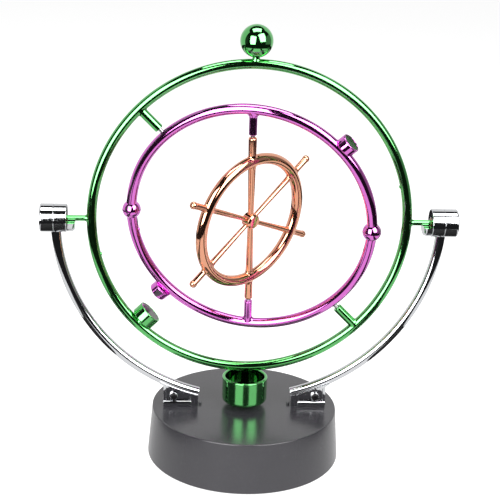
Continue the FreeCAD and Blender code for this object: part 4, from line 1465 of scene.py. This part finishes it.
@dataclass(frozen=True)
class Studio:
    """Pale floor, softboxes, paper sheets and the camera; the camera in metres, the sheets in millimetres."""

    lens_mm: float = 99.08
    sensor_mm: float = 36.0
    distance: float = 0.7018
    aim_x: float = 0.0003
    aim_drop: float = 0.01584
    yaw: float = 4.2
    pitch: float = 18.57
    roll: float = 2.05
    table_r: float = 320.0
    table_back: float = 100.0
    floor_r: float = 4000.0
    room_r: float = 4500.0
    flag_in: float = 97.0
    flag_out: float = 150.0
    flag_front: float = -195.0
    flag_back: float = 75.0
    screen_r: float = 850.0
    screen_t: float = 5.0

    def camera(self) -> None:
        """Looks at a point low on the wheel, turned a little about the vertical and about its own axis."""
        target = Vector((self.aim_x, 0.0, CENTRE[2] - self.aim_drop))
        yaw, pitch, roll = (math.radians(v) for v in (self.yaw, self.pitch, self.roll))
        ahead = Vector((math.sin(yaw) * math.cos(pitch), math.cos(yaw) * math.cos(pitch), -math.sin(pitch)))
        level = ahead.cross(Vector((0, 0, 1))).normalized()
        rise = level.cross(ahead)
        right = math.cos(roll) * level + math.sin(roll) * rise
        up = -math.sin(roll) * level + math.cos(roll) * rise
        lens = bpy.data.cameras.new("studio_camera")
        lens.lens, lens.sensor_width = self.lens_mm, self.sensor_mm
        camera = bpy.data.objects.new("studio_camera", lens)
        turn = Matrix((right, up, -ahead)).transposed().to_4x4()
        camera.matrix_world = Matrix.Translation(target - ahead * self.distance) @ turn
        bpy.context.scene.collection.objects.link(camera)
        bpy.context.scene.camera = camera

    def sheet(self, name: str, shell: Shell, paper: Paper, seen: bool, lit: bool) -> None:
        """Adds one stage surface.

        Args:
            name: the surface's name.
            shell: its points in millimetres.
            paper: its finish.
            seen: whether the camera sees it.
            lit: whether the object's surfaces mirror it and take light from it.
        """
        mesh = bpy.data.meshes.new(name)
        fill_mesh(mesh, [shell], ROOT)
        mesh.materials.append(paper.material())
        surface = bpy.data.objects.new(name, mesh)
        surface.visible_camera = seen
        surface.visible_glossy = surface.visible_diffuse = lit
        surface.visible_transmission = surface.visible_shadow = False
        bpy.context.scene.collection.objects.link(surface)
        surface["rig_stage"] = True

    def disc(self, radius: float, low: float, high: float) -> Shell:
        """Thin round sheet about the upright axis, between two heights.

        Args:
            radius: its radius.
            low: its lower height.
            high: its upper height.

        Returns:
            The closed shell.
        """
        t = np.linspace(0.0, 2 * np.pi, 96, endpoint=False)
        rim = radius * np.stack([np.cos(t), np.sin(t), 0 * t], -1)
        return loft(np.stack([rim + low * Z, rim + high * Z]))

    def flag(self, side: float) -> Shell:
        """Dark card that lies on the table beside the base, under the drum.

        Args:
            side: -1 for the left, 1 for the right.

        Returns:
            The closed shell.
        """
        card = np.array([(self.flag_in, self.flag_front), (self.flag_out, self.flag_front),
                         (self.flag_out, self.flag_back), (self.flag_in, self.flag_back)]) * (side, 1.0)
        return loft(np.stack([np.column_stack([card, np.full(4, z)]) for z in (1.0, 2.0)]), Ends.PLATES)

    def bend(self, first: float, last: float, low: float, high: float) -> Shell:
        """Upright sheet bent round the vertical: point = R (sin a, -cos a), a from first to last degrees.

        Args:
            first: where it begins.
            last: where it ends.
            low: its lower edge's height.
            high: its upper edge's height.

        Returns:
            The closed shell.
        """
        a = np.radians(np.linspace(first, last, 48))[:, None]
        reach = self.screen_r + np.array([0.0, 0.0, self.screen_t, self.screen_t])
        height = np.array([low, high, high, low])
        return loft(np.stack([reach * np.sin(a), -reach * np.cos(a), height + 0 * a], -1), Ends.PLATES)

    def mirrored(self) -> None:
        """Adds the table, flags and screens, which only the object's surfaces see."""
        table = self.disc(self.table_r, -1.0, -0.5)
        table.points = table.points + self.table_back * Y
        backdrop = self.bend(-92.0, -248.0, -100.0, 1180.0)
        right, left = self.bend(112.0, 60.0, -10.0, 650.0), self.bend(-70.0, -91.0, -10.0, 650.0)
        for name, shell, paper in (("table", table, Paper("table_paper", "FFFFFF", 0.75, 0.15)),
                                   ("flag_left", self.flag(-1.0), Paper("flag_paper", "000000", 0.0, 0.02)),
                                   ("flag_right", self.flag(1.0), Paper("flag_paper", "000000", 0.0, 0.02)),
                                   ("backdrop", backdrop, Paper("backdrop_paper", "FFFFFF", 0.95)),
                                   ("side_right", right, Paper("side_paper", "FFFFFF", 0.28)),
                                   ("side_left", left, Paper("side_paper_dim", "FFFFFF", 0.06))):
            self.sheet(name, shell, paper, seen=False, lit=True)

    def build(self) -> None:
        """Builds the whole studio."""
        scene = bpy.context.scene
        scene.view_settings.view_transform = "Standard"
        world = bpy.data.worlds.new("studio_dark")
        world.use_nodes = True
        world.node_tree.nodes["Background"].inputs["Color"].default_value = (0.016, 0.016, 0.017, 1.0)
        scene.world = world
        self.camera()
        target = np.array([0.0, 0.0, CENTRE[2]])
        for box in (Softbox("softbox_left", -31.0, 17.0, 0.80, 0.55, 0.81, 6.0),
                    Softbox("softbox_right", 40.0, 33.0, 0.80, 0.58, 0.75, 6.0),
                    Softbox("softbox_over", 0.0, 89.9, 0.80, 0.58, 0.37, 5.0)):
            box.build(target)
        self.mirrored()
        floor, room = self.disc(self.floor_r, -2.0, -0.2), ball(np.zeros(3), self.room_r)
        self.sheet("floor", floor, Paper("floor_paper", "FFFFFF", 0.95, 0.3), seen=True, lit=False)
        self.sheet("room", room, Paper("room_paper", "FFFFFF", 1.0), seen=True, lit=False)


def main() -> None:
    """Builds every piece in order, then the studio."""
    logging.basicConfig(level=logging.INFO, format="%(name)s: %(message)s")
    for group in (Base(), Arms(), Drums(), OuterRing(), MiddleRing(), Wheel(), Drive(), Studio()):
        LOG.info("building %s", type(group).__name__)
        group.build()
    boxes = {"cad": CAD_BOUNDS, "visual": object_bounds()}
    {key: [list(corner) for corner in pair] for key, pair in boxes.items()}


if __name__ == "__main__":
    main()
